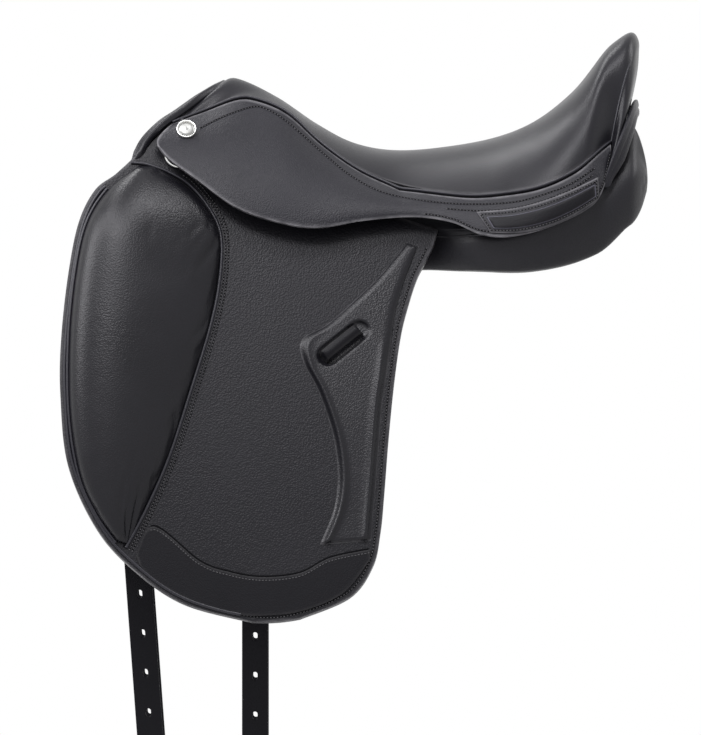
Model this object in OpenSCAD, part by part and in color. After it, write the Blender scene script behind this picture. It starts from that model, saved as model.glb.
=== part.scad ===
// Dressage saddle with one flap a side, as it stands on a horse's back or on a rack.
// X runs from the pommel to the cantle, Y to the off (right) side and Z up, in millimetres.
// The origin lies on the middle line, under the deepest point of the seat, at the level
// where the panels bear on the back. Paired pieces are drawn for the off side and mirrored.

/* [Seat] */
// Deepest point of the seat forward to the top of the pommel
pommel_reach = 157; // [150:1:164]
// Deepest point of the seat back to the tip of the cantle
cantle_reach = 222; // [210:1:234]
// Top of the pommel above the bearing level
pommel_height = 185; // [181:1:192]
// Deepest point of the seat above the bearing level
seat_height = 113; // [110:1:120]
// Tip of the cantle above the bearing level
cantle_height = 228; // [215:1:240]
// Width of the seat leather at the pommel
pommel_width = 80; // [74:1:88]
// Width of the seat at its waist
twist_width = 120; // [112:1:128]
// Greatest width of the seat
seat_width = 262; // [252:1:272]
// Thickness of the seat leather
seat_leather = 2; // [1.2:0.1:2.6]
// Foam under the middle of the seat
seat_foam = 28; // [22:1:30]
// Foam over the head of the tree
pommel_foam = 12; // [8:1:14]
// Diameter of the welt cord between seat and skirt
welt_d = 2.6; // [1.6:0.1:2.8]

/* [Tree] */
// Wall of the moulded tree
tree_wall = 8; // [5:0.5:9]
// Thickness of the seat webs
web_wall = 2; // [1:0.1:2.4]
// Thickness of the steel springs
spring_wall = 1.6; // [1:0.1:2]
// Wall of the steel gullet plate
gullet_wall = 4; // [3:0.5:5]
// Width of the gullet plate along the back
gullet_plate_width = 34; // [26:1:40]
// Lean of the gullet plate, its points forward
gullet_lean = 25; // [22:1:27]
// Wall of the tree wing that carries the stirrup bar
wing_wall = 6; // [4:0.5:7]
// Diameter of the rivet shanks
rivet_d = 5; // [4:0.5:6]
// Diameter of the rivet heads
rivet_head_d = 9; // [8:0.5:11]

/* [Stirrup bar] */
// Length of the bar
bar_length = 78; // [66:1:88]
// Height of the bar
bar_height = 14; // [11:0.5:15]
// Thickness of the bar and of its base plate
bar_wall = 5; // [4:0.5:5]
// Room for the stirrup leather between the bar and the flap
leather_room = 5; // [4.2:0.2:5.4]
// Length of the thumb catch from its pin
catch_length = 16; // [13:1:18]
// Diameter of the catch pin
catch_pin_d = 4; // [3:0.5:5]

/* [Skirt] */
// Thickness of the skirt
skirt_wall = 4.5; // [3:0.5:5]
// Width of the seam between seat and skirt
seam_gap = 4.8; // [4.6:0.2:5.6]
// How far the skirt stands off the flap
skirt_standoff = 20; // [18:1:24]
// Outward swell of the skirt
skirt_swell = 15; // [13:1:18]
// Diameter of the head nail
stud_d = 18; // [14:1:22]

/* [Flap] */
// Fold line down to the lowest edge
flap_length = 446; // [420:1:465]
// Front edge to the rear top corner
flap_width = 358; // [348:1:368]
// Thickness of the padded flap
flap_wall = 9; // [7:0.5:9]
// Half width of the saddle at the fold line
flap_half = 96; // [94:1:102]
// Slope of the fold line, down to the rear
fold_angle = 17; // [16:0.5:18]
// Height of the moulded rest behind the leg
moulding_height = 5; // [3:0.5:7]
// Thickness of the smooth wear leather
wear_wall = 1.6; // [1:0.1:2.5]

/* [Knee block] */
// Height of the block over the flap
block_height = 36; // [28:1:42]
// Distance of the block from the front edge
block_inset = 8; // [6:1:12]
// Thickness of the block leather
block_leather = 2.2; // [1.5:0.1:3]

/* [Keeper] */
// Length of the stirrup leather keeper
keeper_length = 46; // [40:1:52]
// Width of the keeper strap
keeper_width = 13; // [10:1:16]
// Thickness of the keeper strap
keeper_wall = 2.5; // [2:0.5:3.5]
// Height of the slot under the keeper
keeper_room = 7; // [6:0.5:9]

/* [Panels] */
// Width of the channel between the panels
gullet_width = 68; // [60:1:74]
// Width over both panels
panel_width = 284; // [276:1:290]
// Thickness of the panel leather
panel_leather = 2.5; // [1.5:0.1:3]

/* [Girth straps] */
// Width of the straps
billet_width = 25; // [22:1:28]
// Thickness of the straps
billet_wall = 4; // [3:0.5:4.5]
// Distance from hole to hole
hole_pitch = 38; // [30:1:40]
// Width of the buckle holes
hole_width = 4.8; // [4:0.2:6]
// Length of the buckle holes
hole_length = 8; // [7:0.5:10]
// Number of buckle holes
hole_count = 9; // [6:1:10]
// Width of the webbing slings
sling_width = 30; // [25:1:34]
// Thickness of the webbing slings
sling_wall = 2.5; // [1.5:0.5:3]

/* [Dees] */
// Inner width of the front dees
dee_width = 22; // [18:1:24]
// Wire diameter of the dees
dee_wire = 4; // [3:0.5:4.5]

/* [Hidden] */
$fn = 48;
clearance = 0.3;
black_leather = "#26262a";
soft_leather = "#2c2c30";
steel = "#9a9ca0";
nickel = "#c8c9cc";
webbing = "#1c1c1f";
foam_white = "#d9d6cb";

// Curves

function mix(a, b, t) = a + (b - a) * t;
function hermite(a, b, da, db, t) =
    a * (2 * t ^ 3 - 3 * t ^ 2 + 1) + da * (t ^ 3 - 2 * t ^ 2 + t)
    + b * (3 * t ^ 2 - 2 * t ^ 3) + db * (t ^ 3 - t ^ 2);
function span_at(P, x, i = 0) = i >= len(P) - 2 || x < P[i + 1][0] ? i : span_at(P, x, i + 1);
function rise(P, i) =
    let (a = P[max(i - 1, 0)], b = P[min(i + 1, len(P) - 1)]) (b[1] - a[1]) / (b[0] - a[0]);
// Height at x of the smooth graph through points whose x grows
function graph(P, x) =
    let (i = span_at(P, x), h = P[i + 1][0] - P[i][0])
    hermite(P[i][1], P[i + 1][1], rise(P, i) * h, rise(P, i + 1) * h, (x - P[i][0]) / h);
// Point on the smooth curve through the points P, with u from 0 to 1
function along(P, u) =
    let (n = len(P) - 1, i = min(floor(u * n), n - 1))
    hermite(P[i], P[i + 1], (P[i + 1] - P[max(i - 1, 0)]) / 2, (P[min(i + 2, n)] - P[i]) / 2, u * n - i);
// Point on the smooth closed curve through the points P
function around(P, u) =
    let (
        n = len(P),
        i = floor(u * n) % n,
        a = P[(i + n - 1) % n],
        b = P[i],
        c = P[(i + 1) % n],
        d = P[(i + 2) % n]
    ) hermite(b, c, (c - a) / 2, (d - b) / 2, u * n - floor(u * n));
function unit(v) = v / norm(v);
function steps(n) = [for (i = [0:n]) i / n];

// Solids

// Two triangles of the corners a, b, c and d
function two(a, b, c, d) = [[a, b, c], [a, c, d]];
// Closed solid between an outer and an inner grid. Rows and columns turn right-handed about
// the outward side, and holes lists the cells [row, column] that are left open
module slab(outer, inner, holes = []) {
    rows = len(outer);
    cols = len(outer[0]);
    function o(i, j) = i * cols + j;
    function n(i, j) = rows * cols + i * cols + j;
    function kept(i, j) = i >= 0 && j >= 0 && i < rows - 1 && j < cols - 1
        && len([for (h = holes) if (h == [i, j]) 1]) == 0;
    polyhedron(
        points = [for (g = [outer, inner]) for (row = g) each row],
        faces = [
            for (i = [0:rows - 2]) for (j = [0:cols - 2]) if (kept(i, j)) each concat(
                two(o(i, j), o(i, j + 1), o(i + 1, j + 1), o(i + 1, j)),
                two(n(i, j), n(i + 1, j), n(i + 1, j + 1), n(i, j + 1)),
                kept(i - 1, j) ? [] : two(o(i, j + 1), o(i, j), n(i, j), n(i, j + 1)),
                kept(i, j + 1) ? [] : two(o(i + 1, j + 1), o(i, j + 1), n(i, j + 1), n(i + 1, j + 1)),
                kept(i + 1, j) ? [] : two(o(i + 1, j), o(i + 1, j + 1), n(i + 1, j + 1), n(i + 1, j)),
                kept(i, j - 1) ? [] : two(o(i, j), o(i + 1, j), n(i + 1, j), n(i, j))
            )
        ],
        convexity = 8
    );
}
// Closed solid through rings of points, with its two ends closed to their middles
module loft(rings) {
    n = len(rings);
    m = len(rings[0]);
    function mean(ring) = [for (k = [0:2]) [for (p = ring) p[k]] * [for (p = ring) 1 / m]];
    polyhedron(
        points = concat([for (r = rings) each r], [mean(rings[0]), mean(rings[n - 1])]),
        faces = concat(
            [for (i = [0:n - 2]) for (j = [0:m - 1]) let (k = (j + 1) % m)
                each two(i * m + j, i * m + k, (i + 1) * m + k, (i + 1) * m + j)],
            [for (j = [0:m - 1]) [(j + 1) % m, j, n * m]],
            [for (j = [0:m - 1]) [(n - 1) * m + j, (n - 1) * m + (j + 1) % m, n * m + 1]]
        ),
        convexity = 8
    );
}
// Tube of an oval section along the points of a path; up is the direction of the section's height
module tube(path, width, height, sides = 6, up = [0, 0, 1]) {
    last = len(path) - 1;
    loft([for (i = [0:last]) let (
        ahead = unit(path[min(i + 1, last)] - path[max(i - 1, 0)]),
        across = unit(cross(up, ahead)),
        top = cross(ahead, across)
    ) [for (k = [0:sides - 1]) let (a = -360 * (k + 0.5) / sides)
        path[i] + across * cos(a) * width / 2 + top * sin(a) * height / 2]]);
}
module side(left) {
    if (left) mirror([0, 1, 0]) children();
    else children();
}

// The seat. A station u runs from the pommel, below -1, over the deepest point, 0, to the
// cantle's tip, 1. Across the seat v runs from -1 to 1, between the two seams.

seat_front = -1.1;
edge_front = -1.39;
edge_rear = 0.91;
edge_lead_from = -0.6;
edge_lag_from = 0.5;
pommel_rise = [[0, 0], [0.25, 0.1], [0.5, 0.38], [0.75, 0.745], [1, 1], [1.12, 0.98], [1.39, 0.55]];
cantle_rise = [[0, 0], [0.35, 0.1], [0.57, 0.25], [0.75, 0.515], [0.9, 0.86], [1, 1]];
edge_drop = [
    [-1.39, 10], [-1.11, 24], [-0.92, 13], [-0.68, 7.5], [-0.48, 15], [-0.21, 24],
    [0.08, 38], [0.3, 49.5], [0.5, 58], [0.74, 75], [0.91, 90]
];
half_widths = let (p = pommel_width / 2, t = twist_width / 2, s = seat_width / 2) [
    [-1.39, p + 30], [-1.11, p + 8], [-0.92, p], [-0.68, mix(p, t, 0.4)], [-0.48, t],
    [0, mix(t, s, 0.5)], [0.3, mix(t, s, 0.87)], [0.58, s], [0.8, s * 0.88], [0.91, s * 0.67]
];
function seat_x(u) = u < 0 ? u * pommel_reach : u * cantle_reach;
function mid_z(u) = u < 0
    ? seat_height + (pommel_height - seat_height) * graph(pommel_rise, -u)
    : seat_height + (cantle_height - seat_height) * graph(cantle_rise, u);
// The seam leads the middle line at the pommel and lags behind it at the cantle
function edge_u(u) = u < edge_lead_from
    ? mix(edge_lead_from, edge_front, (edge_lead_from - u) / (edge_lead_from - seat_front))
    : u > edge_lag_from ? mix(edge_lag_from, edge_rear, (u - edge_lag_from) / (1 - edge_lag_from)) : u;
function edge_at(e) = [seat_x(e), graph(half_widths, e), mid_z(e) - graph(edge_drop, e)];
crown_power = [[seat_front, 2.2], [-0.4, 2.2], [0.4, 2.7], [1, 3.2]];
function seat_at(u, v) =
    let (e = edge_at(edge_u(u)), m = [seat_x(u), 0, mid_z(u)], a = abs(v))
    [mix(m.x, e.x, a ^ 2), v * e.y, e.z + (m.z - e.z) * (1 - a ^ graph(crown_power, u))];
seat_rows = 22;
seat_cols = 16;
// Columns crowd towards the seams, where the seat turns down
function spread(k) = sin(90 * k);
// Foam thickness, from the head of the tree over the deepest point to the cantle
foam_span = [[seat_front, 1], [-0.6, 0.75], [-0.2, 0.1], [0, 0], [1, 0.25]];
function foam_at(u, v) = mix(seat_foam, pommel_foam, graph(foam_span, u)) * (1 - 0.75 * v ^ 2);
// The layers of the seat share one grid, each at its depth under the leather
function seat_layer(drop, under_foam) = [for (i = steps(seat_rows)) [for (j = steps(seat_cols)) let (
    u = mix(seat_front, 1, i), v = spread(2 * j - 1)
) seat_at(u, v) - [0, 0, drop + (under_foam ? foam_at(u, v) : 0)]]];
function part_of(grid, r0, r1, c0, c1) = [for (i = [r0:r1]) [for (j = [c0:c1]) grid[i][j]]];
first_row = 1;
last_row = 21;
first_col = 2;
last_col = 14;
web_drop = seat_leather + clearance;
tree_drop = web_drop + web_wall + clearance;
spring_drop = tree_drop + tree_wall + clearance;

module seat_cover() {
    color(soft_leather) slab(seat_layer(0, false), seat_layer(seat_leather, false));
}
module seat_foam_pad() {
    function level(drop, under) =
        part_of(seat_layer(drop, under), first_row, last_row, first_col, last_col);
    color(foam_white) slab(level(seat_leather + clearance, false), level(seat_leather, true));
}
// Two lengthwise webs, stretched over the opening of the tree
module seat_webs() {
    color(webbing) for (c = [6, 9]) slab(
        part_of(seat_layer(web_drop, true), first_row, last_row, c, c + 1),
        part_of(seat_layer(web_drop + web_wall, true), first_row, last_row, c, c + 1)
    );
}
// The moulded frame: head, two rails and cantle, round a long opening
module tree() {
    holes = [for (i = [5:14]) for (j = [3:8]) [i, j]];
    function level(drop) = part_of(seat_layer(drop, true), first_row, last_row, first_col, last_col);
    color("#3a3a3d") difference() {
        slab(level(tree_drop), level(tree_drop + tree_wall), holes);
        at_head_rivets() cylinder(h = 60, d = rivet_d + 2 * clearance, center = true);
    }
}
module tree_springs() {
    color(steel) for (c = [3, 12]) slab(
        part_of(seat_layer(spring_drop, true), 5, 20, c, c + 1),
        part_of(seat_layer(spring_drop + spring_wall, true), 5, 20, c, c + 1)
    );
}

// The back of the cantle, from the rim down to the binding

facing_drop = 70;
facing_swell = 4;
facing_wall = 4;
facing_half = 0.985;
function facing_at(v, q) = let (
    rim = seat_at(1, v) + [clearance + 0.5, 0, 0],
    low = rim.z - facing_drop * (1 - abs(v) ^ 2.4) - 3
) [rim.x + facing_swell * sin(180 * q ^ 0.6) - 3 * q, rim.y, mix(rim.z, low, q)];
module cantle_facing() {
    function level(back) = [for (q = steps(6)) [for (j = steps(14))
        facing_at(facing_half * spread(2 * j - 1), q) + [back, 0, 0]]];
    color(soft_leather) slab(level(facing_wall), level(0));
}
binding_width = 14;
binding_wall = 4;
module cantle_binding() {
    path = [for (j = steps(24)) let (v = spread(2 * j - 1)) facing_at(facing_half * v, 1)
        + [facing_wall + binding_wall / 2 + 1.4 + 4.5 * v ^ 4, 4.8 * v, -1]];
    color(black_leather) tube(path, binding_wall, binding_width, 8, [0.25, 0, 1]);
}

// The flap surface. A point of it has a place s along the fold line and t down from it,
// and the sheet bends about lines parallel to the fold.

fold_x = -240;
fold_z = 106;
fold_splay = 0.09;
flap_flare = 0.37;
flap_bend = 0.0002;
function fold_s(x, z) = (x - fold_x) * cos(fold_angle) - (z - fold_z) * sin(fold_angle);
function fold_t(x, z) = -(x - fold_x) * sin(fold_angle) - (z - fold_z) * cos(fold_angle);
function flap_y(s, t) = flap_half + flap_flare * t - flap_bend * t ^ 2 + fold_splay * s;
function flap_st(s, t, out = 0) = [
    fold_x + s * cos(fold_angle) - t * sin(fold_angle),
    flap_y(s, t) + out,
    fold_z - s * sin(fold_angle) - t * cos(fold_angle)
];
// Point over the flap at a place seen from the side
function flap_at(p, out = 0) = [p.x, flap_y(fold_s(p.x, p[1]), fold_t(p.x, p[1])) + out, p[1]];
// Axes of the flap at s and t: along the fold, down the flap, and outward
module on_flap(s, t, out = 0) {
    ahead = unit([cos(fold_angle), fold_splay, -sin(fold_angle)]);
    down = [-sin(fold_angle), flap_flare - 2 * flap_bend * t, -cos(fold_angle)];
    normal = unit(cross(ahead, down));
    fall = cross(normal, ahead);
    p = flap_st(s, t) + normal * out;
    multmatrix([
        [ahead.x, fall.x, normal.x, p.x],
        [ahead.y, fall.y, normal.y, p.y],
        [ahead.z, fall.z, normal.z, p.z],
        [0, 0, 0, 1]
    ]) children();
}

// Place on the flap as shares of its width and length, seen from the side
flap_front = -325;
flap_top = 110;
function on_outline(a, b) = [flap_front + a * flap_width, flap_top - b * flap_length];
function seen(p) = [p.x, p.z];
// Both edges of the flap start at the fold line
front_edge = concat([seen(flap_st(-14, 0))], [for (p = [
    [0.146, 0.04], [0.0905, 0.0744], [0.0473, 0.1434], [0.0202, 0.251], [0.0014, 0.389], [-0.001, 0.51],
    [0.02, 0.664], [0.098, 0.802], [0.2, 0.8915], [0.33, 0.9615], [0.511, 1]
]) on_outline(p.x, p[1])]);
rear_edge = concat([seen(flap_st(284, 0))], [for (p = [
    [0.975, 0.229], [0.953, 0.264], [0.932, 0.3155], [0.9105, 0.384], [0.892, 0.488], [0.877, 0.608],
    [0.865, 0.729], [0.8555, 0.806], [0.8355, 0.8795], [0.774, 0.947], [0.64, 0.993]
]) on_outline(p.x, p[1])]);
flap_rows = 18;
flap_cols = 10;
module flap() {
    function row(u) = [along(front_edge, u), along(rear_edge, u)];
    function level(out) = [for (i = steps(flap_rows)) let (r = row(i))
        [for (j = steps(flap_cols)) flap_at(mix(r[1], r[0], j), out)]];
    color(black_leather) slab(level(0), level(-flap_wall));
}
// The part of the flap above the fold, nailed to the tree and notched for the stirrup bar.
// Its front wing rises to the binding of the arch and tucks in under the skirt
head_gap = 0.3;
head_low = [for (s = [-8, -3, 5, 12, 25, 42, 100, 200, 283]) [s, -head_gap]];
head_high = [
    [-8, -4.5], [-4, -15.5], [3, -31], [9, -35], [22, -29], [42, -22], [100, -22], [200, -19], [283, -16]
];
function head_tuck(s, t) = 0.3 * max(0, -t - 4) * max(0, min(1, (34 - s) / 20));
module flap_head() {
    rows = 26;
    function level(out) = [for (i = steps(rows)) let (a = along(head_high, i), b = along(head_low, i))
        [for (j = steps(2)) let (p = mix(a, b, j)) flap_st(p.x, p[1], out - head_tuck(p.x, p[1]))]];
    color(black_leather) difference() {
        slab(level(0), level(-flap_wall));
        on_flap(bar_s - notch_room, bar_t)
            translate([0, -60, -3 * flap_wall])
            cube([bar_length + 2 * notch_room, 60 + bar_height + notch_room, 6 * flap_wall]);
    }
}

// Pads that lie on the flap between a front and a rear edge

// Rounded height across a pad, 0 at both edges
function bulge(k, power) = (1 - abs(2 * k - 1) ^ power) ^ (1 / power);
block_rear = [for (p = [
    [0.24, 0.022], [0.34, 0.0722], [0.405, 0.1368], [0.42, 0.206], [0.39, 0.365],
    [0.342, 0.492], [0.2816, 0.6437], [0.22, 0.7567], [0.173, 0.8363]
]) on_outline(p.x, p[1])];
block_front = [for (p = [
    [0.185, 0.022], [0.107, 0.0715], [0.05, 0.1437], [0.02, 0.2478], [0.002, 0.3964],
    [0.004, 0.555], [0.03, 0.6838], [0.075, 0.767], [0.13, 0.83]
]) on_outline(p.x, p[1]) + [block_inset, 0]];
block_rows = 16;
block_cols = 10;
// The block is highest a third of the way down and dies away to its lower tip
block_profile = [[0, 0.12], [0.08, 0.55], [0.25, 1], [0.6, 0.95], [0.9, 0.5], [1, 0.1]];
function block_out(i, k) = clearance + block_height * graph(block_profile, i) * bulge(k, 2.6);
function block_grid(lower) = [for (i = steps(block_rows)) let (
    f = along(block_front, i), r = along(block_rear, i)
) [for (j = steps(block_cols)) let (k = (1 - cos(180 * j)) / 2)
    flap_at(mix(r, f, k), max(clearance + 0.1, block_out(i, k) - lower))]];
function block_base() = [for (i = steps(block_rows)) let (
    f = along(block_front, i), r = along(block_rear, i)
) [for (j = steps(block_cols)) flap_at(mix(r, f, (1 - cos(180 * j)) / 2), clearance)]];
module block_cover() {
    function edged(lower) = [for (i = steps(block_rows)) let (
        f = along(block_front, i), r = along(block_rear, i)
    ) [for (j = steps(block_cols)) let (k = (1 - cos(180 * j)) / 2)
        flap_at(mix(r, f, k), max(clearance, block_out(i, k) + block_leather - lower))]];
    color(soft_leather) slab(edged(0), edged(block_leather));
}
module block_core() {
    core_from = 1;
    core_rows = [for (i = [core_from:block_rows - core_from]) i];
    core_cols = [for (j = [core_from:block_cols - core_from]) j];
    function inset(g, down) = [for (i = core_rows) [for (j = core_cols) g[i][j] - [0, down, 0]]];
    color(foam_white) slab(inset(block_grid(clearance), 0), inset(block_base(), 0));
}
// Raised rest for the rider's calf, moulded into the rear of the flap
moulding_front = [for (p = [
    [0.914, 0.197], [0.85, 0.268], [0.78, 0.321], [0.712, 0.369], [0.648, 0.4], [0.65, 0.443],
    [0.69, 0.507], [0.728, 0.6], [0.741, 0.689], [0.729, 0.763], [0.692, 0.834]
]) on_outline(p.x, p[1])];
moulding_rear = [for (p = [
    [0.943, 0.204], [0.917, 0.266], [0.889, 0.325], [0.881, 0.379], [0.874, 0.423], [0.866, 0.477],
    [0.855, 0.541], [0.847, 0.62], [0.84, 0.699], [0.833, 0.763], [0.827, 0.825]
]) on_outline(p.x, p[1])];
module moulding() {
    rows = 20;
    across = [0, 0.14, 0.5, 0.86, 1];
    function out(i, k) = clearance + moulding_height * (k == 0 || k == 1 ? 0.15 : 1)
        * (i == 0 || i == 1 ? 0.3 : 1);
    function level(flat) = [for (i = steps(rows)) let (
        f = along(moulding_front, i), r = along(moulding_rear, i)
    ) [for (k = across) flap_at(mix(r, f, k), flat ? clearance : out(i, k))]];
    color(black_leather) slab(level(false), level(true));
}
// Smooth leather along the lower edge, where the strap buckles rub
wear_top = [for (p = [
    [0.203, 0.86], [0.25, 0.797], [0.3715, 0.871], [0.452, 0.8946], [0.5378, 0.9053],
    [0.6397, 0.8967], [0.7201, 0.8644], [0.828, 0.846]
]) on_outline(p.x, p[1])];
wear_low = [for (p = [
    [0.212, 0.88], [0.27, 0.925], [0.37, 0.964], [0.46, 0.983], [0.54, 0.988],
    [0.65, 0.977], [0.758, 0.938], [0.828, 0.868]
]) on_outline(p.x, p[1])];
module wear_leather() {
    rows = 14;
    function level(out) = [for (i = steps(rows)) let (a = along(wear_top, i), b = along(wear_low, i))
        [for (j = steps(2)) flap_at(mix(a, b, j), out)]];
    color(black_leather) slab(level(clearance + wear_wall), level(clearance));
}
// Strap loop that holds the tail of the stirrup leather
keeper_at = on_outline(0.75, 0.408);
keeper_turn = -58;
module keeper() {
    foot = keeper_wall + 1.5;
    tall = keeper_room + keeper_wall;
    slope = tall / 2;
    s = fold_s(keeper_at.x, keeper_at[1]);
    t = fold_t(keeper_at.x, keeper_at[1]);
    color(black_leather) on_flap(s, t, moulding_height + 0.7)
        rotate(keeper_turn) translate([-keeper_length / 2, keeper_width / 2, 0]) rotate([90, 0, 0])
        linear_extrude(keeper_width) polygon([
            [0, 0], [foot, 0], [foot + slope / 2, keeper_room],
            [keeper_length - foot - slope / 2, keeper_room], [keeper_length - foot, 0],
            [keeper_length, 0], [keeper_length - slope, tall], [slope, tall]
        ]);
}

// The skirt, from the seam along the seat to its lower edge

// Lower edge of the skirt, which lies on the panel behind, and the stations of the seat above its points
panel_half = panel_width / 2;
skirt_low = [
    [-230, 104, 119], [-222, 111, 107], [-194, 122, 86], [-157, 135, 60], [-114, 139, 45],
    [-78, 139, 40.5], [-35, 134, 47], [12, 130, 50.5], [48, panel_half - 5, 46],
    [76, panel_half + 5, 34.5], [104, panel_half + 9, 32], [140, panel_half + 7, 40],
    [178, panel_half - 6, 57], [194, panel_half - 20, 75], [203, panel_half - 45, 112]
];
skirt_seam = [
    -1.39, -1.265, -1.11, -0.92, -0.68, -0.48, -0.21, 0.077, 0.21, 0.333, 0.473, 0.605, 0.743, 0.835, 0.91
];
skirt_swells = [[0, 0.2], [0.12, 0.75], [0.2, 1], [0.4, 1], [0.55, 0.35], [1, 0.25]];
function skirt_top(r) = edge_at(along(skirt_seam, r));
function skirt_foot(r) = along(skirt_low, r) + [0, skirt_standoff - 18, 0];
// Outer face of the skirt at r from front to rear and q from the seam to the lower edge
function skirt_at(r, q) = let (
    a = skirt_top(r), b = skirt_foot(r), k = mix(seam_gap / norm(b - a), 1, q)
) mix(a, b, k) + [0, skirt_swell * graph(skirt_swells, r) * 4 * k * (1 - k), 0];
// The front of the skirt folds up along a straight line, from its front edge to its waist
crease_r = 0.5;
crease_from = [-226, 131];
crease_to = [12, 51];
function above_crease(p) =
    let (k = (p.x - crease_from.x) / (crease_to.x - crease_from.x))
    p.z - mix(crease_from[1], crease_to[1], k);
// Share q at which a line across the skirt meets the crease, by halving
function crease_q(r, a = 0, b = 1, n = 14) =
    let (m = (a + b) / 2)
    n == 0 ? m
    : above_crease(skirt_at(r, m)) > 0 ? crease_q(r, m, b, n - 1)
    : crease_q(r, a, m, n - 1);
skirt_rows = 28;
crease_gap = 0.006;
function skirt_grid(r0, r1, rows, q0, q1, cols, inward) = [for (i = steps(rows)) let (r = mix(r0, r1, i))
    [for (j = steps(cols)) let (
        low = is_undef(q1) ? (r < crease_r ? crease_q(r) - crease_gap : 1) : q1,
        high = is_undef(q0) ? crease_q(r) + crease_gap : q0
    ) skirt_at(r, mix(high, low, j)) - [0, inward, 0]]];
module skirt() {
    function level(inward) = skirt_grid(0, 1, skirt_rows, 0, undef, 4, inward);
    color(black_leather) slab(level(0), level(skirt_wall));
}
module skirt_fold() {
    function level(inward) = skirt_grid(0, crease_r - 0.02, 16, undef, 1, 3, inward);
    color(black_leather) slab(level(0), level(skirt_wall));
}
// Blank padded plate on the rear of the skirt
module skirt_patch() {
    plate_wall = 3;
    function level(out) = [for (i = steps(10)) let (r = mix(0.665, 0.9, i))
        [for (j = steps(2)) skirt_at(r, mix(0.42, 0.86, j)) + [0, out, 0]]];
    color(soft_leather) slab(level(clearance + plate_wall), level(clearance));
}
module seat_welt() {
    path = [for (i = steps(34)) let (r = i, a = skirt_top(r), b = skirt_foot(r))
        a + unit(b - a) * seam_gap * 0.5 + [0, 0.6, 0.9]];
    color(black_leather) tube(path, welt_d, welt_d, 6, [0, 0, 1]);
}
// Domed nail that pins the front of the skirt to the tree
stud_r = 0.081;
stud_q = 0.3;
stud_lift = 0.5;
stud_dome = 3;
module at_stud() {
    p = skirt_at(stud_r, stud_q);
    ahead = unit(skirt_at(stud_r + 0.01, stud_q) - skirt_at(stud_r - 0.01, stud_q));
    fall = skirt_at(stud_r, stud_q + 0.05) - skirt_at(stud_r, stud_q - 0.05);
    normal = unit(cross(ahead, fall));
    down = cross(normal, ahead);
    place = p + normal * stud_lift;
    multmatrix([
        [ahead.x, down.x, normal.x, place.x],
        [ahead.y, down.y, normal.y, place.y],
        [ahead.z, down.z, normal.z, place.z],
        [0, 0, 0, 1]
    ]) children();
}
module head_nails() {
    r = stud_d / 2;
    color(nickel) for (left = [false, true]) side(left) at_stud() rotate_extrude()
        polygon([[0, 0], [r, 0], [r, 1], [r * 0.9, 1.7], [r * 0.55, stud_dome * 0.85], [0, stud_dome]]);
}

// The steel gullet plate and the front arch

arch_x = -150;
arch_room = 8.9;
arch_top = mid_z(arch_x / pommel_reach) - pommel_foam - spring_drop - arch_room;
// Half width and depth below the top, from the crown of the arch to its points
arch_line = [[0, 2], [30, 7], [52, 20], [66, 40], [78, 66], [91, 103], [101, 132]];
module at_gullet() {
    translate([arch_x, 0, arch_top]) rotate([0, gullet_lean, 0]) translate([0, 0, -arch_top]) children();
}
module gullet_plate() {
    n = 20;
    function line(out) = [for (i = steps(n)) let (
        p = along(arch_line, i),
        a = along(arch_line, min(1, i + 0.01)),
        b = along(arch_line, max(0, i - 0.01)),
        d = i == 0 ? [1, 0] : unit(a - b)
    ) [p.x + d[1] * out, arch_top - p[1] + d.x * out]];
    function across(half) = concat([for (i = [n:-1:1]) [-half[i].x, half[i][1]]], half);
    outer = across(line(gullet_wall / 2));
    inner = across(line(-gullet_wall / 2));
    color(steel) difference() {
        at_gullet() rotate([90, 0, 90]) linear_extrude(gullet_plate_width, center = true)
            polygon(concat(outer, [for (i = [len(inner) - 1:-1:0]) inner[i]]));
        at_head_rivets() cylinder(h = 60, d = rivet_d + 2 * clearance, center = true);
    }
}
rivet_spread = 24;
module at_head_rivets() {
    for (y = [-rivet_spread / 2, rivet_spread / 2]) at_gullet() translate([0, y, arch_top]) children();
}
module head_rivets() {
    below = gullet_wall + 4.4;
    above = arch_room + tree_wall / 2;
    color(steel) at_head_rivets() translate([0, 0, -below]) {
        cylinder(h = below + above, d = rivet_d);
        cylinder(h = 2, d = rivet_head_d);
    }
}
// Padded binding of the front arch, from one flap over the pommel to the other
arch_binding = [
    [-177, 0, 181], [-187, 28, 174], [-200, 46, 163], [-216, 61, 151], [-229, 74, 140], [-240, 83.5, 129],
    [-248, 89, 118], [-252, 91, 112]
];
module pommel_binding() {
    n = 20;
    path = concat(
        [for (i = [n:-1:1]) let (p = along(arch_binding, i / n)) [p.x, -p.y, p.z]],
        [for (i = [0:n]) along(arch_binding, i / n)]
    );
    color(soft_leather) tube(path, 7, 8, 8, [1, 0, 0.8]);
}

// The stirrup bar and the wing of the tree that carries it

bar_s = 80;
bar_t = -20;
notch_room = 1;
wing_out = -flap_wall - clearance;
module tree_wing() {
    color("#3a3a3d") difference() {
        on_flap(0, 0, wing_out - wing_wall) linear_extrude(wing_wall) polygon([
            [12, -1], [190, -1], [190, -13], [176, -18], [160, -40], [62, -40], [40, -14], [14, -6]
        ]);
        at_bar_rivets() cylinder(h = 60, d = rivet_d + 2 * clearance, center = true);
    }
}
module at_bar_rivets() {
    for (k = [0.16, 0.84]) on_flap(bar_s + k * bar_length, bar_t + bar_height / 2) children();
}
bar_out = leather_room;
base_out = wing_out + clearance;
half_wall = (bar_wall - clearance) / 2;
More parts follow.
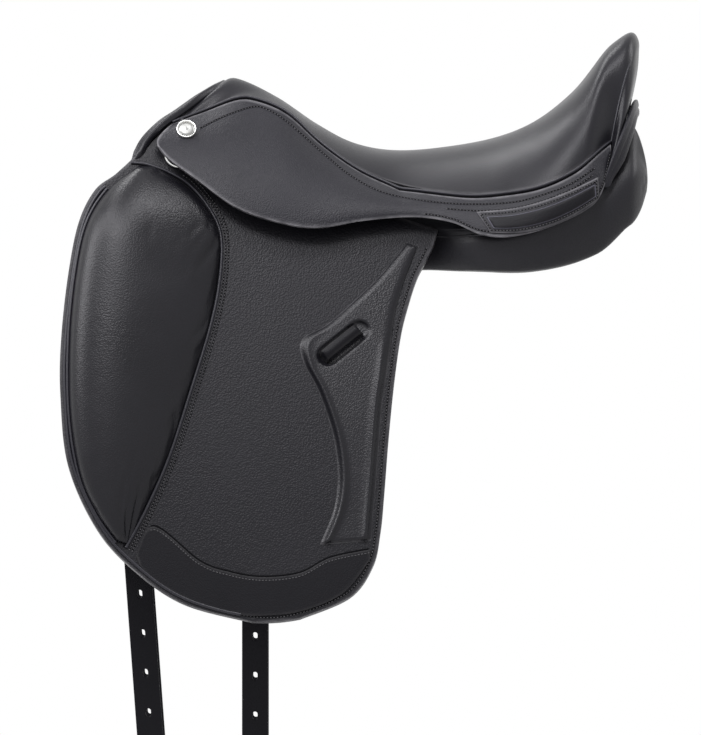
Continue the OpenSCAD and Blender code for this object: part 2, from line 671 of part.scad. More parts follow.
// Base plate, front leg and bar in one; the bar's rear end is halved to take the catch
module stirrup_bar() {
    reach = bar_out + bar_wall - base_out;
    end = bar_length - bar_height / 2;
    color(steel) difference() {
        on_flap(bar_s, bar_t) union() {
            translate([0, 0, base_out]) cube([bar_length, bar_height, bar_wall]);
            translate([0, 0, base_out]) cube([bar_wall, bar_height, reach]);
            translate([0, 0, bar_out]) cube([end, bar_height, bar_wall]);
            translate([end, bar_height / 2, bar_out + bar_wall - half_wall])
                cylinder(h = half_wall, d = bar_height);
        }
        on_flap(bar_s, bar_t) translate([end, bar_height / 2, bar_out - 1])
            cylinder(h = 1 + bar_wall - half_wall, d = bar_height + 2);
        at_bar_rivets() cylinder(h = 60, d = rivet_d + 2 * clearance, center = true);
        at_catch_pin() cylinder(h = 60, d = catch_pin_d + 2 * clearance, center = true);
    }
}
// Rivets with a head behind the wing, flush with the base plate in front
module bar_rivets() {
    back = wing_out - wing_wall - clearance - 2;
    color(steel) for (left = [false, true]) side(left) at_bar_rivets() translate([0, 0, back]) {
        cylinder(h = 2, d = rivet_head_d);
        cylinder(h = base_out + bar_wall - back, d = rivet_d);
    }
}
module at_catch_pin() {
    on_flap(bar_s, bar_t) translate([bar_length - bar_height / 2, bar_height / 2, 0]) children();
}
module bar_catch() {
    color(steel) at_catch_pin() translate([0, 0, bar_out]) difference() {
        union() {
            cylinder(h = half_wall, d = bar_height - 1);
            translate([0, -bar_height * 0.3, 0]) cube([catch_length, bar_height * 0.6, half_wall]);
        }
        translate([0, 0, -1]) cylinder(h = half_wall + 2, d = catch_pin_d + 0.1);
    }
}
module catch_pins() {
    color(steel) for (left = [false, true]) side(left) at_catch_pin() translate([0, 0, bar_out])
        cylinder(h = bar_wall, d = catch_pin_d);
}

// The dees below the front of the skirts

dee_s = 26;
dee_t = -16;
dee_out = 3.2;
module dee() {
    r = (dee_width + dee_wire) / 2;
    straight = 4;
    color(nickel) on_flap(dee_s, dee_t, dee_out) {
        translate([-r, 0, 0]) rotate([0, 90, 0]) cylinder(h = 2 * r, d = dee_wire);
        for (k = [-1, 1]) translate([k * r, 0, 0]) {
            sphere(d = dee_wire);
            rotate([-90, 0, 0]) cylinder(h = straight, d = dee_wire);
        }
        translate([0, straight, 0]) rotate_extrude(angle = 180) translate([r, 0]) circle(d = dee_wire);
    }
}
module dee_chape() {
    bore = dee_wire + 0.1;
    leather = 1;
    wide = dee_width - 4;
    tail = 6;
    color(black_leather) on_flap(dee_s, dee_t, dee_out) difference() {
        union() {
            translate([-wide / 2, 0, 0]) rotate([0, 90, 0]) cylinder(h = wide, d = bore + 2 * leather);
            translate([-wide / 2, -tail, -bore / 2 - leather]) cube([wide, tail, 2 * leather]);
        }
        translate([-wide, 0, 0]) rotate([0, 90, 0]) cylinder(h = 2 * wide, d = bore);
    }
}

// The panels that bear on the back, either side of the channel

channel = gullet_width / 2;
panel_front = -226;
panel_rear = 238;
panel_round = 16;
// Half widths and heights along the back: x, value
panel_side = [
    [-226, flap_half + 8], [-150, flap_half + 14], [-60, flap_half + 8], [16, flap_half + 3],
    [40, flap_half + 10], [76, panel_half - 10], [130, panel_half - 1], [190, panel_half - 23],
    [222, panel_half - 40], [238, panel_half - 56]
];
panel_side_z = [
    [-226, -8], [-150, -28], [-60, 8], [12, 22], [62, 26], [130, 34], [190, 58], [222, 84], [238, 92]
];
panel_low = [
    [-226, -32], [-150, -54], [-60, -18], [12, -2], [62, -2], [130, -1], [190, 16], [222, 44], [238, 70]
];
panel_inner = [
    [-226, 60], [-150, 58], [-60, 38], [12, 28], [62, 26], [130, 30], [190, 44], [222, 64], [238, 78]
];
panel_top = [
    [-226, 100], [-150, 100], [-60, 70], [12, 60], [62, 62], [130, 82], [190, 124], [222, 138], [238, 108]
];
panel_inner_w = [
    [-226, 18], [-150, 6], [-60, 1], [12, 0], [62, 0], [130, 0], [190, 2], [222, 6], [238, 12]
];
panel_roof_w = [
    [-226, 64], [-150, 62], [-60, 84], [12, 92], [40, 97], [76, panel_half - 28], [130, panel_half - 18],
    [190, panel_half - 46], [222, panel_half - 67], [238, panel_half - 73]
];
panel_roof_z = [
    [-226, 72], [-150, 72], [-60, 52], [12, 50], [62, 54], [130, 64], [190, 94], [222, 118], [238, 102]
];
// Height just under the springs of the tree
function under_tree(x, w) = let (
    u = x < 0 ? x / pommel_reach : x / cantle_reach, v = min(0.93, w / edge_at(edge_u(u)).y)
) seat_at(u, v).z - foam_at(u, v) - spring_drop - spring_wall - clearance;
// Along the rails the panel lies up against the tree
function on_rails(x) = max(0, min(1, (x + 90) / 40, (180 - x) / 40));
function panel_corners(x) = let (
    w = channel + wall_swell + graph(panel_inner_w, x),
    s = graph(panel_side, x),
    roof = graph(panel_roof_w, x),
    low = graph(panel_low, x),
    in = graph(panel_inner, x)
) [
    [roof, mix(graph(panel_roof_z, x), under_tree(x, roof) - roof_room, on_rails(x))],
    [s, graph(panel_side_z, x)],
    [s - 0.1 * (s - w), low],
    [mix(w, s, 0.45), mix(in, low, 0.5) - 4],
    [w, in],
    [w + 3, mix(graph(panel_top, x), under_tree(x, w + 3) - top_room, on_rails(x))]
];
wall_swell = 6;
roof_room = 2.6;
top_room = 12;
panel_rows = 20;
panel_cols = 16;
// Both ends of a panel are rounded off
function end_scale(x) = let (k = min(1, min(x - panel_front, panel_rear - x) / panel_round))
    max(0.06, sqrt(max(0, 1 - (1 - k) ^ 2)));
function panel_x(i) = mix(panel_front, panel_rear, (1 - cos(180 * i)) / 2);
function panel_ring(x, shape_x, inset, n) = let (
    c = panel_corners(shape_x),
    mid = [for (k = [0, 1]) [for (p = c) p[k]] * [for (p = c) 1 / len(c)]]
) [for (k = [0:n - 1]) let (
    d = (around(c, k / n) - mid) * end_scale(shape_x), q = mid + d * max(0.5, 1 - inset / norm(d))
) [x, q.x, q[1]]];
module panel_cover() {
    // The leather is open along the top, where the panel lies under the tree
    function level(inset) = [for (i = steps(panel_rows)) let (
        x = panel_x(i), inside = min(max(x, panel_front + inset), panel_rear - inset)
    ) panel_ring(inside, x, inset, panel_cols)];
    color(soft_leather) slab(level(0), level(panel_leather));
}
module panel_flock() {
    margin = 2;
    color(foam_white) loft([for (i = [margin:panel_rows - margin]) let (x = panel_x(i / panel_rows))
        panel_ring(x, x, panel_leather + 0.6, panel_cols)]);
}

// Girth straps and the slings that carry them

sling_depth = (flap_wall + wing_wall + 3 * clearance) * 1.07;
front_strap_at = [-268, -58];
rear_strap_at = [-139, -45];
strap_drop = 0.4;
// Flat web on the inside of the flap from one place to another, both seen from the side,
// with level ends
module web(from, to, width) {
    n = [width / 2, 0];
    rows = 4;
    function level(deep) = [for (i = steps(rows)) let (p = mix(from, to, i))
        [flap_at(p + n, -deep), flap_at(p - n, -deep)]];
    slab(level(sling_depth), level(sling_depth + sling_wall));
}
sling_front_top = flap_st(26, -10);
sling_rear_top = flap_st(118, -12);
module sling_front() {
    color(webbing) web(seen(sling_front_top), front_strap_at, sling_width);
}
module sling_rear() {
    color(webbing) web(seen(sling_rear_top), rear_strap_at, sling_width);
}
// Depth of a strap that hangs from the lower end of its sling
function strap_y(at) = flap_at(at)[1] - sling_depth - sling_wall / 2;
function strap_z(at, lean) = at[1] - strap_drop - sin(lean) * billet_width / 2;
// Straight strap with oval holes, hanging down from its sewn end
module billet(at, first_hole, lean) {
    long = first_hole + (hole_count - 1) * hole_pitch + 45;
    tip = billet_width / 2;
    color(black_leather) translate([at.x, strap_y(at), strap_z(at, lean)])
        rotate([0, -lean, 0]) rotate([90, 0, 0]) translate([0, 0, -billet_wall / 2])
        linear_extrude(billet_wall) difference() {
            union() {
                translate([-billet_width / 2, -long + tip]) square([billet_width, long - tip]);
                translate([0, -long + tip]) intersection() {
                    circle(d = billet_width);
                    translate([-tip, -2 * tip]) square([2 * tip, 2 * tip]);
                }
            }
            for (i = [0:hole_count - 1]) translate([0, -first_hole - i * hole_pitch]) {
                straight = hole_length - hole_width;
                square([hole_width, straight], center = true);
                for (k = [-1, 1]) translate([0, k * straight / 2]) circle(d = hole_width);
            }
        }
}
front_lean = 4.2;
front_first_hole = 214;
rear_first_hole = 230;
module billet_front() {
    billet(front_strap_at, front_first_hole, front_lean);
}
module billet_rear() {
    billet(rear_strap_at, rear_first_hole, 0);
}

// The nodes

tree();
gullet_plate();
side(true) tree_wing();  // tree_wing_left
side(false) tree_wing();  // tree_wing_right
tree_springs();
head_rivets();
seat_webs();
seat_foam_pad();
seat_cover();
cantle_facing();
cantle_binding();
pommel_binding();
side(true) seat_welt();  // seat_welt_left
side(false) seat_welt();  // seat_welt_right
side(true) skirt();  // skirt_left
side(false) skirt();  // skirt_right
side(true) skirt_fold();  // skirt_fold_left
side(false) skirt_fold();  // skirt_fold_right
side(true) skirt_patch();  // skirt_patch_left
side(false) skirt_patch();  // skirt_patch_right
head_nails();
side(true) stirrup_bar();  // stirrup_bar_left
side(false) stirrup_bar();  // stirrup_bar_right
bar_rivets();
side(true) bar_catch();  // bar_catch_left
side(false) bar_catch();  // bar_catch_right
catch_pins();
side(true) dee();  // dee_left
side(false) dee();  // dee_right
side(true) dee_chape();  // dee_chape_left
side(false) dee_chape();  // dee_chape_right
side(true) flap_head();  // flap_head_left
side(false) flap_head();  // flap_head_right
side(true) flap();  // flap_left
side(false) flap();  // flap_right
side(true) wear_leather();  // wear_leather_left
side(false) wear_leather();  // wear_leather_right
side(true) moulding();  // moulding_left
side(false) moulding();  // moulding_right
side(true) keeper();  // keeper_left
side(false) keeper();  // keeper_right
side(true) block_core();  // block_core_left
side(false) block_core();  // block_core_right
side(true) block_cover();  // block_cover_left
side(false) block_cover();  // block_cover_right
side(true) panel_cover();  // panel_cover_left
side(false) panel_cover();  // panel_cover_right
side(true) panel_flock();  // panel_flock_left
side(false) panel_flock();  // panel_flock_right
side(true) sling_front();  // sling_front_left
side(false) sling_front();  // sling_front_right
side(true) sling_rear();  // sling_rear_left
side(false) sling_rear();  // sling_rear_right
side(true) billet_front();  // billet_front_left
side(false) billet_front();  // billet_front_right
side(true) billet_rear();  // billet_rear_left
side(false) billet_rear();  // billet_rear_right
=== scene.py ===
# %% [markdown]
# # Dressing a dressage saddle
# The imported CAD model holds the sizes, bodies and joints of a black leather saddle.
# This lesson keeps that frame as it is and builds the leather, thread and metal around it.
# Every point below is in millimetres, in the frame of the CAD model: X runs to the cantle,
# Y to the off (right) side and Z up. Paired pieces are built for the off side and mirrored.

# %% Load the frame
import math

import bpy
import numpy as np
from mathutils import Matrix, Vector


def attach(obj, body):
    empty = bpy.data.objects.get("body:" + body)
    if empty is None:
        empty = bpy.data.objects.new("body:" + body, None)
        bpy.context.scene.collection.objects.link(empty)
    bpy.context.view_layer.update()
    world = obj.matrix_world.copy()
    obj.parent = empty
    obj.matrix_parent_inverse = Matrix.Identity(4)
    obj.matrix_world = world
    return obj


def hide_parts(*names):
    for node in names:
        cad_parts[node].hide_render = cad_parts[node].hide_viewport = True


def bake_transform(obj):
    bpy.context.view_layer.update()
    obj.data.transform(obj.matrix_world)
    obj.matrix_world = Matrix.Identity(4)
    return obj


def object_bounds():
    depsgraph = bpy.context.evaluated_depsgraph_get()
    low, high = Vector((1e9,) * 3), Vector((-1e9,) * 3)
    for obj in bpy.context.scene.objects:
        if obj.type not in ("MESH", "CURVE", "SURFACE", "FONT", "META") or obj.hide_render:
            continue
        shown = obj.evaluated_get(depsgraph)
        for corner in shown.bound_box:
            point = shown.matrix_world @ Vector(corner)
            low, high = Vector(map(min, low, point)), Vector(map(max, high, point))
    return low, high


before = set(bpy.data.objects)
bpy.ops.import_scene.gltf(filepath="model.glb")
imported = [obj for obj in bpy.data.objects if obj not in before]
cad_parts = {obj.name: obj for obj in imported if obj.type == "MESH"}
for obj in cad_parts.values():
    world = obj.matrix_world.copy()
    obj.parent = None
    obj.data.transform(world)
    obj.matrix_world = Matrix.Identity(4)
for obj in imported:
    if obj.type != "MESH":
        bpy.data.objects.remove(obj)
cad_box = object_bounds()
scene = bpy.context.scene
MM = 0.001

# %% [markdown]
# ## Camera, light and floor
# The photograph was taken square to the near side through a long lens, level with the saddle.
# A distant camera with a narrow field keeps the outlines nearly parallel, as they are there,
# and lets the holes of the near and the far straps line up, so that the white shows through.
# Black leather is drawn by what it mirrors, so a few large soft lamps do the modelling,
# and the plain white surround gives the low sheen in between.

# %% Camera
photo_height, mm_per_pixel = 735, 0.96
sensor_width = 36
camera_distance = 28.0
look_at = Vector((-0.0475, -0.09, -0.0936))

camera_data = bpy.data.cameras.new("photo_camera")
camera_data.sensor_width = sensor_width
camera_data.lens = sensor_width * camera_distance / (photo_height * mm_per_pixel * MM)
camera_data.clip_end = 100
camera = bpy.data.objects.new("photo_camera", camera_data)
camera.location = look_at - camera_distance * Vector((0, 1, 0))
camera.rotation_euler = (math.pi / 2, 0, 0)
scene.collection.objects.link(camera)
scene.camera = camera
scene.view_settings.view_transform = "Standard"
print("lens", round(camera_data.lens), "mm")


# %% Lamps
def softbox(name, place, target, size, watts):
    """Rectangular lamp at a place, turned towards a target."""
    data = bpy.data.lights.new(name, "AREA")
    data.shape = "RECTANGLE"
    data.size, data.size_y = size
    data.energy = watts
    lamp = bpy.data.objects.new(name, data)
    lamp.location = place
    lamp.rotation_euler = (Vector(target) - Vector(place)).to_track_quat("-Z", "Y").to_euler()
    scene.collection.objects.link(lamp)


lamps = {"left": ((-1.7, -0.35, 0.9), (-0.1, 0, 0), (0.8, 0.7), 15),
         "front_left": ((-1.15, -0.75, 1.5), (-0.1, 0, 0), (1.0, 0.7), 15),
         "front_top": ((-0.55, -1.4, 1.35), (-0.1, 0, 0), (0.9, 0.5), 16),
         "seat": ((-0.7, 0.6, 1.7), (0.1, 0, 0.1), (1.0, 0.4), 10),
         "rear": ((1.4, 0.3, 1.2), (0.15, 0, 0.1), (0.6, 0.6), 6),
         "top": ((0.15, -0.7, 1.6), (-0.2, -0.15, 0), (0.9, 0.35), 11)}
for name, values in lamps.items():
    softbox(f"{name}_softbox", *values)
print(len(lamps), "lamps")


# %% Node helpers
def put(tree, kind, settings=None, **inputs):
    """New node with its settings; an input is a number, a colour or another node's output."""
    node = tree.nodes.new(kind)
    for key, value in (settings or {}).items():
        setattr(node, key, value)
    for key, value in inputs.items():
        at = int(key[1:]) if key[0] == "i" and key[1:].isdigit() else key.replace("_", " ")
        if isinstance(value, bpy.types.NodeSocket):
            tree.links.new(value, node.inputs[at])
        else:
            node.inputs[at].default_value = value
    return node


def math_node(tree, operation, a, b=0.0):
    return put(tree, "ShaderNodeMath", {"operation": operation}, i0=a, i1=b).outputs[0]


def span(tree, value, low, high, to_low=0.0, to_high=1.0):
    return put(tree, "ShaderNodeMapRange", Value=value, From_Min=low, From_Max=high,
               To_Min=to_low, To_Max=to_high).outputs["Result"]


print("nodes ready")

# %% Surround
room_light, white = 0.25, (1, 1, 1, 1)
world = bpy.data.worlds.new("white_room")
scene.world = world
world.use_nodes = True
t = world.node_tree
t.nodes.clear()
ray = put(t, "ShaderNodeLightPath").outputs
bounced = math_node(t, "MAXIMUM", ray["Is Glossy Ray"], ray["Is Transmission Ray"])
seen_white = math_node(t, "MAXIMUM", ray["Is Camera Ray"], bounced)
room = put(t, "ShaderNodeBackground", Color=white, Strength=room_light)
backdrop = put(t, "ShaderNodeBackground", Color=white, Strength=1.0)
blend = put(t, "ShaderNodeMixShader", Fac=seen_white, i1=room.outputs[0], i2=backdrop.outputs[0])
put(t, "ShaderNodeOutputWorld", Surface=blend.outputs[0])
print("room light", room_light)

# %% Floor
floor_radius, floor_drop, fade_from, fade_to = 1.3, 0.012, 0.95, 1.45
floor_height = cad_box[0][2] - floor_drop
floor_mesh = bpy.data.meshes.new("floor")
outline = [(floor_radius * math.cos(a), floor_radius * math.sin(a), floor_height)
           for a in np.linspace(0, 2 * math.pi, 96, endpoint=False)]
floor_mesh.from_pydata(outline, [], [list(range(len(outline)))])
floor = bpy.data.objects.new("floor", floor_mesh)
scene.collection.objects.link(floor)
floor_finish = bpy.data.materials.new("pale_floor")
floor_finish.use_nodes = True
t = floor_finish.node_tree
paint = t.nodes["Principled BSDF"].inputs
paint["Base Color"].default_value = (0.9, 0.9, 0.9, 1)
paint["Roughness"].default_value = 0.8
place = put(t, "ShaderNodeTexCoord").outputs["Object"]
reach = put(t, "ShaderNodeVectorMath", {"operation": "LENGTH"}, i0=place).outputs["Value"]
t.links.new(span(t, reach, fade_to, fade_from), paint["Alpha"])
floor_mesh.materials.append(floor_finish)
print("floor at", round(floor_height, 3), "m")

# %% [markdown]
# ## Finishes
# Leather needs three scales at once: a tone that drifts over a hand's width, pebbles about a
# millimetre across, and pores between them. One node group makes all three from the object's
# own coordinates, so each leather only chooses its sizes and colours. A second group
# lightens leather close to a cut edge: partly where hands and straps rub it, and partly a
# painted highlight of the rounded edge catching the light. The sheets carry a number named
# edge, which is 1 at a cut edge and falls to 0 within three millimetres.


# %% Groups and colours
FLOAT, COLOUR, VECTOR = "NodeSocketFloat", "NodeSocketColor", "NodeSocketVector"


def new_group(name, sockets_in, sockets_out, kind="ShaderNodeTree"):
    """Node group with named sockets: (name, kind, default) in and (name, kind) out."""
    group = bpy.data.node_groups.new(name, kind)
    for label, socket_kind, value in sockets_in:
        socket = group.interface.new_socket(label, in_out="INPUT", socket_type=socket_kind)
        if value is not None:
            socket.default_value = value
    for label, socket_kind in sockets_out:
        group.interface.new_socket(label, in_out="OUTPUT", socket_type=socket_kind)
    return group, group.nodes.new("NodeGroupInput"), group.nodes.new("NodeGroupOutput")


def mix_colour(tree, factor, a, b):
    return put(tree, "ShaderNodeMix", {"data_type": "RGBA"}, i0=factor, i6=a, i7=b).outputs[2]


def grey(level, blue=1.3):
    return (level, level * 0.97, level * blue, 1)


def new_finish(name, **constants):
    """Material with constant shader values, its tree, its shader and the object's coordinates."""
    made = bpy.data.materials.new(name)
    made.use_nodes = True
    tree = made.node_tree
    shader = tree.nodes["Principled BSDF"]
    for label, value in constants.items():
        shader.inputs[label.replace("_", " ")].default_value = value
    return made, tree, shader.inputs, put(tree, "ShaderNodeTexCoord").outputs["Object"]


def cover(tree, shader, colour, height, strength, depth, roughness=None):
    """Lead the colour, relief and roughness that change over the surface to the shader."""
    relief = put(tree, "ShaderNodeBump", Height=height, Strength=strength, Distance=depth)
    tree.links.new(colour, shader["Base Color"])
    tree.links.new(relief.outputs["Normal"], shader["Normal"])
    if roughness is not None:
        tree.links.new(roughness, shader["Roughness"])


print("groups and finishes ready")

# %% Leather grain
grain_group, given, result = new_group(
    "leather grain",
    [("Place", VECTOR, None), ("Pebbles per metre", FLOAT, 700.0), ("Deep colour", COLOUR, None),
     ("Raised colour", COLOUR, None), ("Base roughness", FLOAT, 0.45)],
    [("Colour", COLOUR), ("Roughness", FLOAT), ("Height", FLOAT)])
t = grain_group
bend = put(t, "ShaderNodeTexNoise", Vector=given.outputs["Place"], Scale=160.0, Detail=2.0)
shift = put(t, "ShaderNodeVectorMath", {"operation": "SCALE"}, i0=bend.outputs["Color"],
            Scale=0.0022)
place = put(t, "ShaderNodeVectorMath", {"operation": "ADD"}, i0=given.outputs["Place"],
            i1=shift.outputs["Vector"]).outputs["Vector"]
pebble = put(t, "ShaderNodeTexVoronoi", {"feature": "SMOOTH_F1"}, Vector=place,
             Scale=given.outputs["Pebbles per metre"], Smoothness=0.45)
rounded = span(t, pebble.outputs["Distance"], 0.15, 0.75, 1.0, 0.0)
pores = put(t, "ShaderNodeTexNoise", Vector=place, Scale=2600.0, Detail=3.0).outputs["Fac"]
drift = put(t, "ShaderNodeTexNoise", Vector=given.outputs["Place"], Scale=14.0, Detail=4.0,
            Roughness=0.6).outputs["Fac"]
tone = math_node(t, "ADD", math_node(t, "MULTIPLY", rounded, 0.55),
                 math_node(t, "MULTIPLY", drift, 0.45))
height = math_node(t, "ADD", math_node(t, "MULTIPLY", rounded, 0.8),
                   math_node(t, "MULTIPLY", pores, 0.2))
t.links.new(mix_colour(t, tone, given.outputs["Deep colour"], given.outputs["Raised colour"]),
            result.inputs["Colour"])
rough = math_node(t, "ADD", given.outputs["Base roughness"], span(t, drift, 0.3, 0.7, -0.05, 0.05))
t.links.new(math_node(t, "SUBTRACT", rough, math_node(t, "MULTIPLY", rounded, 0.05)),
            result.inputs["Roughness"])
t.links.new(height, result.inputs["Height"])
print("group:", t.name)

# %% Lighter cut edges: rubbing and painted highlight
wear_and_sheen_group, given, result = new_group(
    "edge wear",
    [("Place", VECTOR, None), ("Colour", COLOUR, None), ("Worn colour", COLOUR, None)],
    [("Colour", COLOUR)])
t = wear_and_sheen_group
# Close to a cut edge the colour turns lighter: partly rubbing, partly a painted highlight of the
# rounded edge.
near = put(t, "ShaderNodeAttribute", {"attribute_name": "edge"}).outputs["Fac"]
patchy = put(t, "ShaderNodeTexNoise", Vector=given.outputs["Place"], Scale=90.0,
             Detail=5.0).outputs["Fac"]
rub_and_sheen_mask = math_node(t, "MULTIPLY", near, span(t, patchy, 0.1, 0.6))
t.links.new(mix_colour(t, rub_and_sheen_mask, given.outputs["Colour"], given.outputs["Worn colour"]),
            result.inputs["Colour"])
print("group:", t.name)


# %% Leathers
def leather(name, deep, raised, roughness, pebbles, bump, specular=0.35, worn=0.05):
    """Leather with its own tone, gloss, pebble count per metre and depth of grain."""
    made, tree, shader, place = new_finish(name, Specular_IOR_Level=specular,
                                           Specular_Tint=(0.97, 0.96, 1, 1))
    grain = put(tree, "ShaderNodeGroup", {"node_tree": grain_group}, Place=place,
                Pebbles_per_metre=pebbles, Deep_colour=grey(deep), Raised_colour=grey(raised),
                Base_roughness=roughness)
    # Lighter cut edges: partly rubbing, partly a painted highlight.
    wear_and_sheen = put(tree, "ShaderNodeGroup", {"node_tree": wear_and_sheen_group}, Place=place,
               Colour=grain.outputs["Colour"], Worn_colour=grey(worn, 1.06))
    cover(tree, shader, wear_and_sheen.outputs["Colour"], grain.outputs["Height"], bump, 0.0005,
          grain.outputs["Roughness"])
    return made


# The lighter tone at cut edges is partly rubbing and partly a painted highlight; the skirt has the
# most.
flap_leather = leather("flap_leather", 0.005, 0.01, 0.41, 600.0, 0.4, specular=0.22, worn=0.08)
block_leather = leather("block_leather", 0.005, 0.009, 0.34, 680.0, 0.26, specular=0.28)
seat_leather = leather("seat_leather", 0.007, 0.012, 0.36, 800.0, 0.16, specular=0.27)
rest_leather = leather("rest_leather", 0.005, 0.01, 0.34, 640.0, 0.3, specular=0.29, worn=0.08)
skirt_leather = leather("skirt_leather", 0.01, 0.017, 0.42, 760.0, 0.42, specular=0.22, worn=0.16)
panel_leather = leather("panel_leather", 0.006, 0.011, 0.42, 760.0, 0.2, specular=0.3)
strap_leather = leather("strap_leather", 0.004, 0.007, 0.42, 900.0, 0.12, specular=0.12, worn=0.02)
smooth_leather = leather("smooth_leather", 0.004, 0.007, 0.45, 800.0, 0.22, specular=0.14, worn=0.03)
welt_leather = leather("welt_leather", 0.014, 0.024, 0.36, 1000.0, 0.1, specular=0.32)
seam_shadow = leather("seam_shadow", 0.002, 0.004, 0.7, 1000.0, 0.1, specular=0.06, worn=0.004)
rim_leather = leather("rim_leather", 0.05, 0.09, 0.4, 1000.0, 0.1, specular=0.35)
print("11 leathers")


# %% Thread and webbing
def thread_finish(name, dark, light):
    """Twisted thread: fine slanting bands across the stitch."""
    made, tree, shader, place = new_finish(name, Roughness=0.6, Specular_IOR_Level=0.3)
    twist = put(tree, "ShaderNodeTexWave", {"bands_direction": "DIAGONAL"}, Vector=place,
                Scale=900.0, Distortion=1.5).outputs["Fac"]
    cover(tree, shader, mix_colour(tree, twist, grey(dark, 1.05), grey(light, 1.05)), twist,
          0.4, 0.0001)
    return made


def woven_finish(name, dark, light):
    """Webbing: ribs along the strap crossed by a fine weft."""
    made, tree, shader, place = new_finish(name, Roughness=0.75, Specular_IOR_Level=0.2)
    ribs, weft = [put(tree, "ShaderNodeTexWave", {"bands_direction": way}, Vector=place, Scale=scale,
                      Distortion=0.3).outputs["Fac"]
                  for way, scale in (("X", 260.0), ("Z", 420.0))]
    both = math_node(tree, "MULTIPLY", ribs, weft)
    cover(tree, shader, mix_colour(tree, both, grey(dark), grey(light)), both, 0.6, 0.0004)
    return made


black_thread = thread_finish("black_thread", 0.05, 0.14)
black_webbing = woven_finish("black_webbing", 0.01, 0.03)
print("thread and webbing")


# %% Metal and the tree's plastic
def metal_finish(name, level, roughness):
    """Plated metal with hairline scratches and a little tarnish."""
    made, tree, shader, place = new_finish(name, Metallic=1.0)
    stretched = put(tree, "ShaderNodeMapping", Vector=place, Scale=(900.0, 120.0, 120.0))
    hair = put(tree, "ShaderNodeTexNoise", Vector=stretched.outputs["Vector"], Scale=1.0, Detail=4.0)
    cloud = put(tree, "ShaderNodeTexNoise", Vector=place, Scale=60.0, Detail=3.0)
    clean, dull = (level, level, level * 0.99, 1), (level * 0.8, level * 0.79, level * 0.76, 1)
    tarnish = mix_colour(tree, span(tree, cloud.outputs["Fac"], 0.4, 0.8), clean, dull)
    gloss = span(tree, hair.outputs["Fac"], 0.3, 0.7, roughness * 0.75, roughness * 1.35)
    cover(tree, shader, tarnish, hair.outputs["Fac"], 0.08, 0.0002, gloss)
    return made


def moulded_finish(name, level):
    """Moulded plastic with a matt, slightly uneven skin."""
    made, tree, shader, place = new_finish(name)
    skin = put(tree, "ShaderNodeTexNoise", Vector=place, Scale=700.0, Detail=3.0).outputs["Fac"]
    flow = put(tree, "ShaderNodeTexNoise", Vector=place, Scale=18.0, Detail=3.0).outputs["Fac"]
    cover(tree, shader, mix_colour(tree, flow, grey(level * 0.8), grey(level * 1.2)), skin,
          0.2, 0.0003, span(tree, flow, 0.3, 0.7, 0.42, 0.58))
    return made


bright_nickel = metal_finish("bright_nickel", 0.82, 0.16)
satin_nickel = metal_finish("satin_nickel", 0.3, 0.42)
forged_steel = metal_finish("forged_steel", 0.55, 0.34)
tree_plastic = moulded_finish("tree_plastic", 0.04)
print("3 metals and a plastic")

# %% [markdown]
# ## Curves and sheets
# A saddler draws an outline by eye through a few marks. The two helpers below do the same:
# graph runs a smooth height over x, and along runs a smooth line through points. A piece of
# leather is then a grid of points on its face. Solidify gives it its thickness and Bevel
# rounds the cut edge, which is the bright line that shows leather is thick.


# %% Smooth lines
def mix(a, b, t):
    return a + (b - a) * t


def hermite(a, b, da, db, t):
    return (a * (2 * t ** 3 - 3 * t ** 2 + 1) + da * (t ** 3 - 2 * t ** 2 + t)
            + b * (3 * t ** 2 - 2 * t ** 3) + db * (t ** 3 - t ** 2))


def graph(points, x):
    """Heights at x of the smooth graph through points whose x grows."""
    p = np.asarray(points, float)
    x = np.asarray(x, float)
    lower = np.maximum(np.arange(len(p)) - 1, 0)
    upper = np.minimum(np.arange(len(p)) + 1, len(p) - 1)
    rise = (p[upper, 1] - p[lower, 1]) / (p[upper, 0] - p[lower, 0])
    i = np.clip(np.searchsorted(p[:, 0], x, side="right") - 1, 0, len(p) - 2)
    h = p[i + 1, 0] - p[i, 0]
    return hermite(p[i, 1], p[i + 1, 1], rise[i] * h, rise[i + 1] * h, (x - p[i, 0]) / h)


def along(points, u):
    """Places on the smooth line through points, with u from 0 to 1."""
    p = np.asarray(points, float)
    u = np.asarray(u, float)
    n = len(p) - 1
    i = np.clip(np.floor(u * n).astype(int), 0, n - 1)
    t = u * n - i
    if p.ndim > 1:
        t = t[..., None]
    before, after = p[np.maximum(i - 1, 0)], p[np.minimum(i + 2, n)]
    return hermite(p[i], p[i + 1], (p[i + 1] - before) / 2, (after - p[i]) / 2, t)


def around(points, u):
    """Places on the smooth closed line through points."""
    p = np.asarray(points, float)
    n = len(p)
    i = np.floor(np.asarray(u) * n).astype(int) % n
    t = (np.asarray(u) * n - np.floor(np.asarray(u) * n))[..., None]
    a, b, c, d = p[(i - 1) % n], p[i], p[(i + 1) % n], p[(i + 2) % n]
    return hermite(b, c, (c - a) / 2, (d - b) / 2, t)


print("smooth lines ready")


# %% Shares and directions
def unit(v):
    return v / np.linalg.norm(v, axis=-1, keepdims=True)


def smooth(t):
    t = np.clip(t, 0, 1)
    return t * t * (3 - 2 * t)


def crowded(n):
    """Shares from 0 to 1 that crowd towards both ends."""
    return (1 - np.cos(np.pi * np.linspace(0, 1, n))) / 2


def ruled(a, b, u, w):
    """Grid of places between two smooth lines, with u along them and w from one to the other."""
    return mix(along(a, u)[:, None], along(b, u)[:, None], np.asarray(w)[None, :, None])


print("shares ready")


# %% Meshes
def new_object(name, points, faces, finish, edges=()):
    mesh = bpy.data.meshes.new(name)
    mesh.from_pydata((np.asarray(points, float).reshape(-1, 3) * MM).tolist(), list(edges), faces)
    mesh.update()
    made = bpy.data.objects.new(name, mesh)
    scene.collection.objects.link(made)
    if finish:
        mesh.materials.append(finish)
    return made


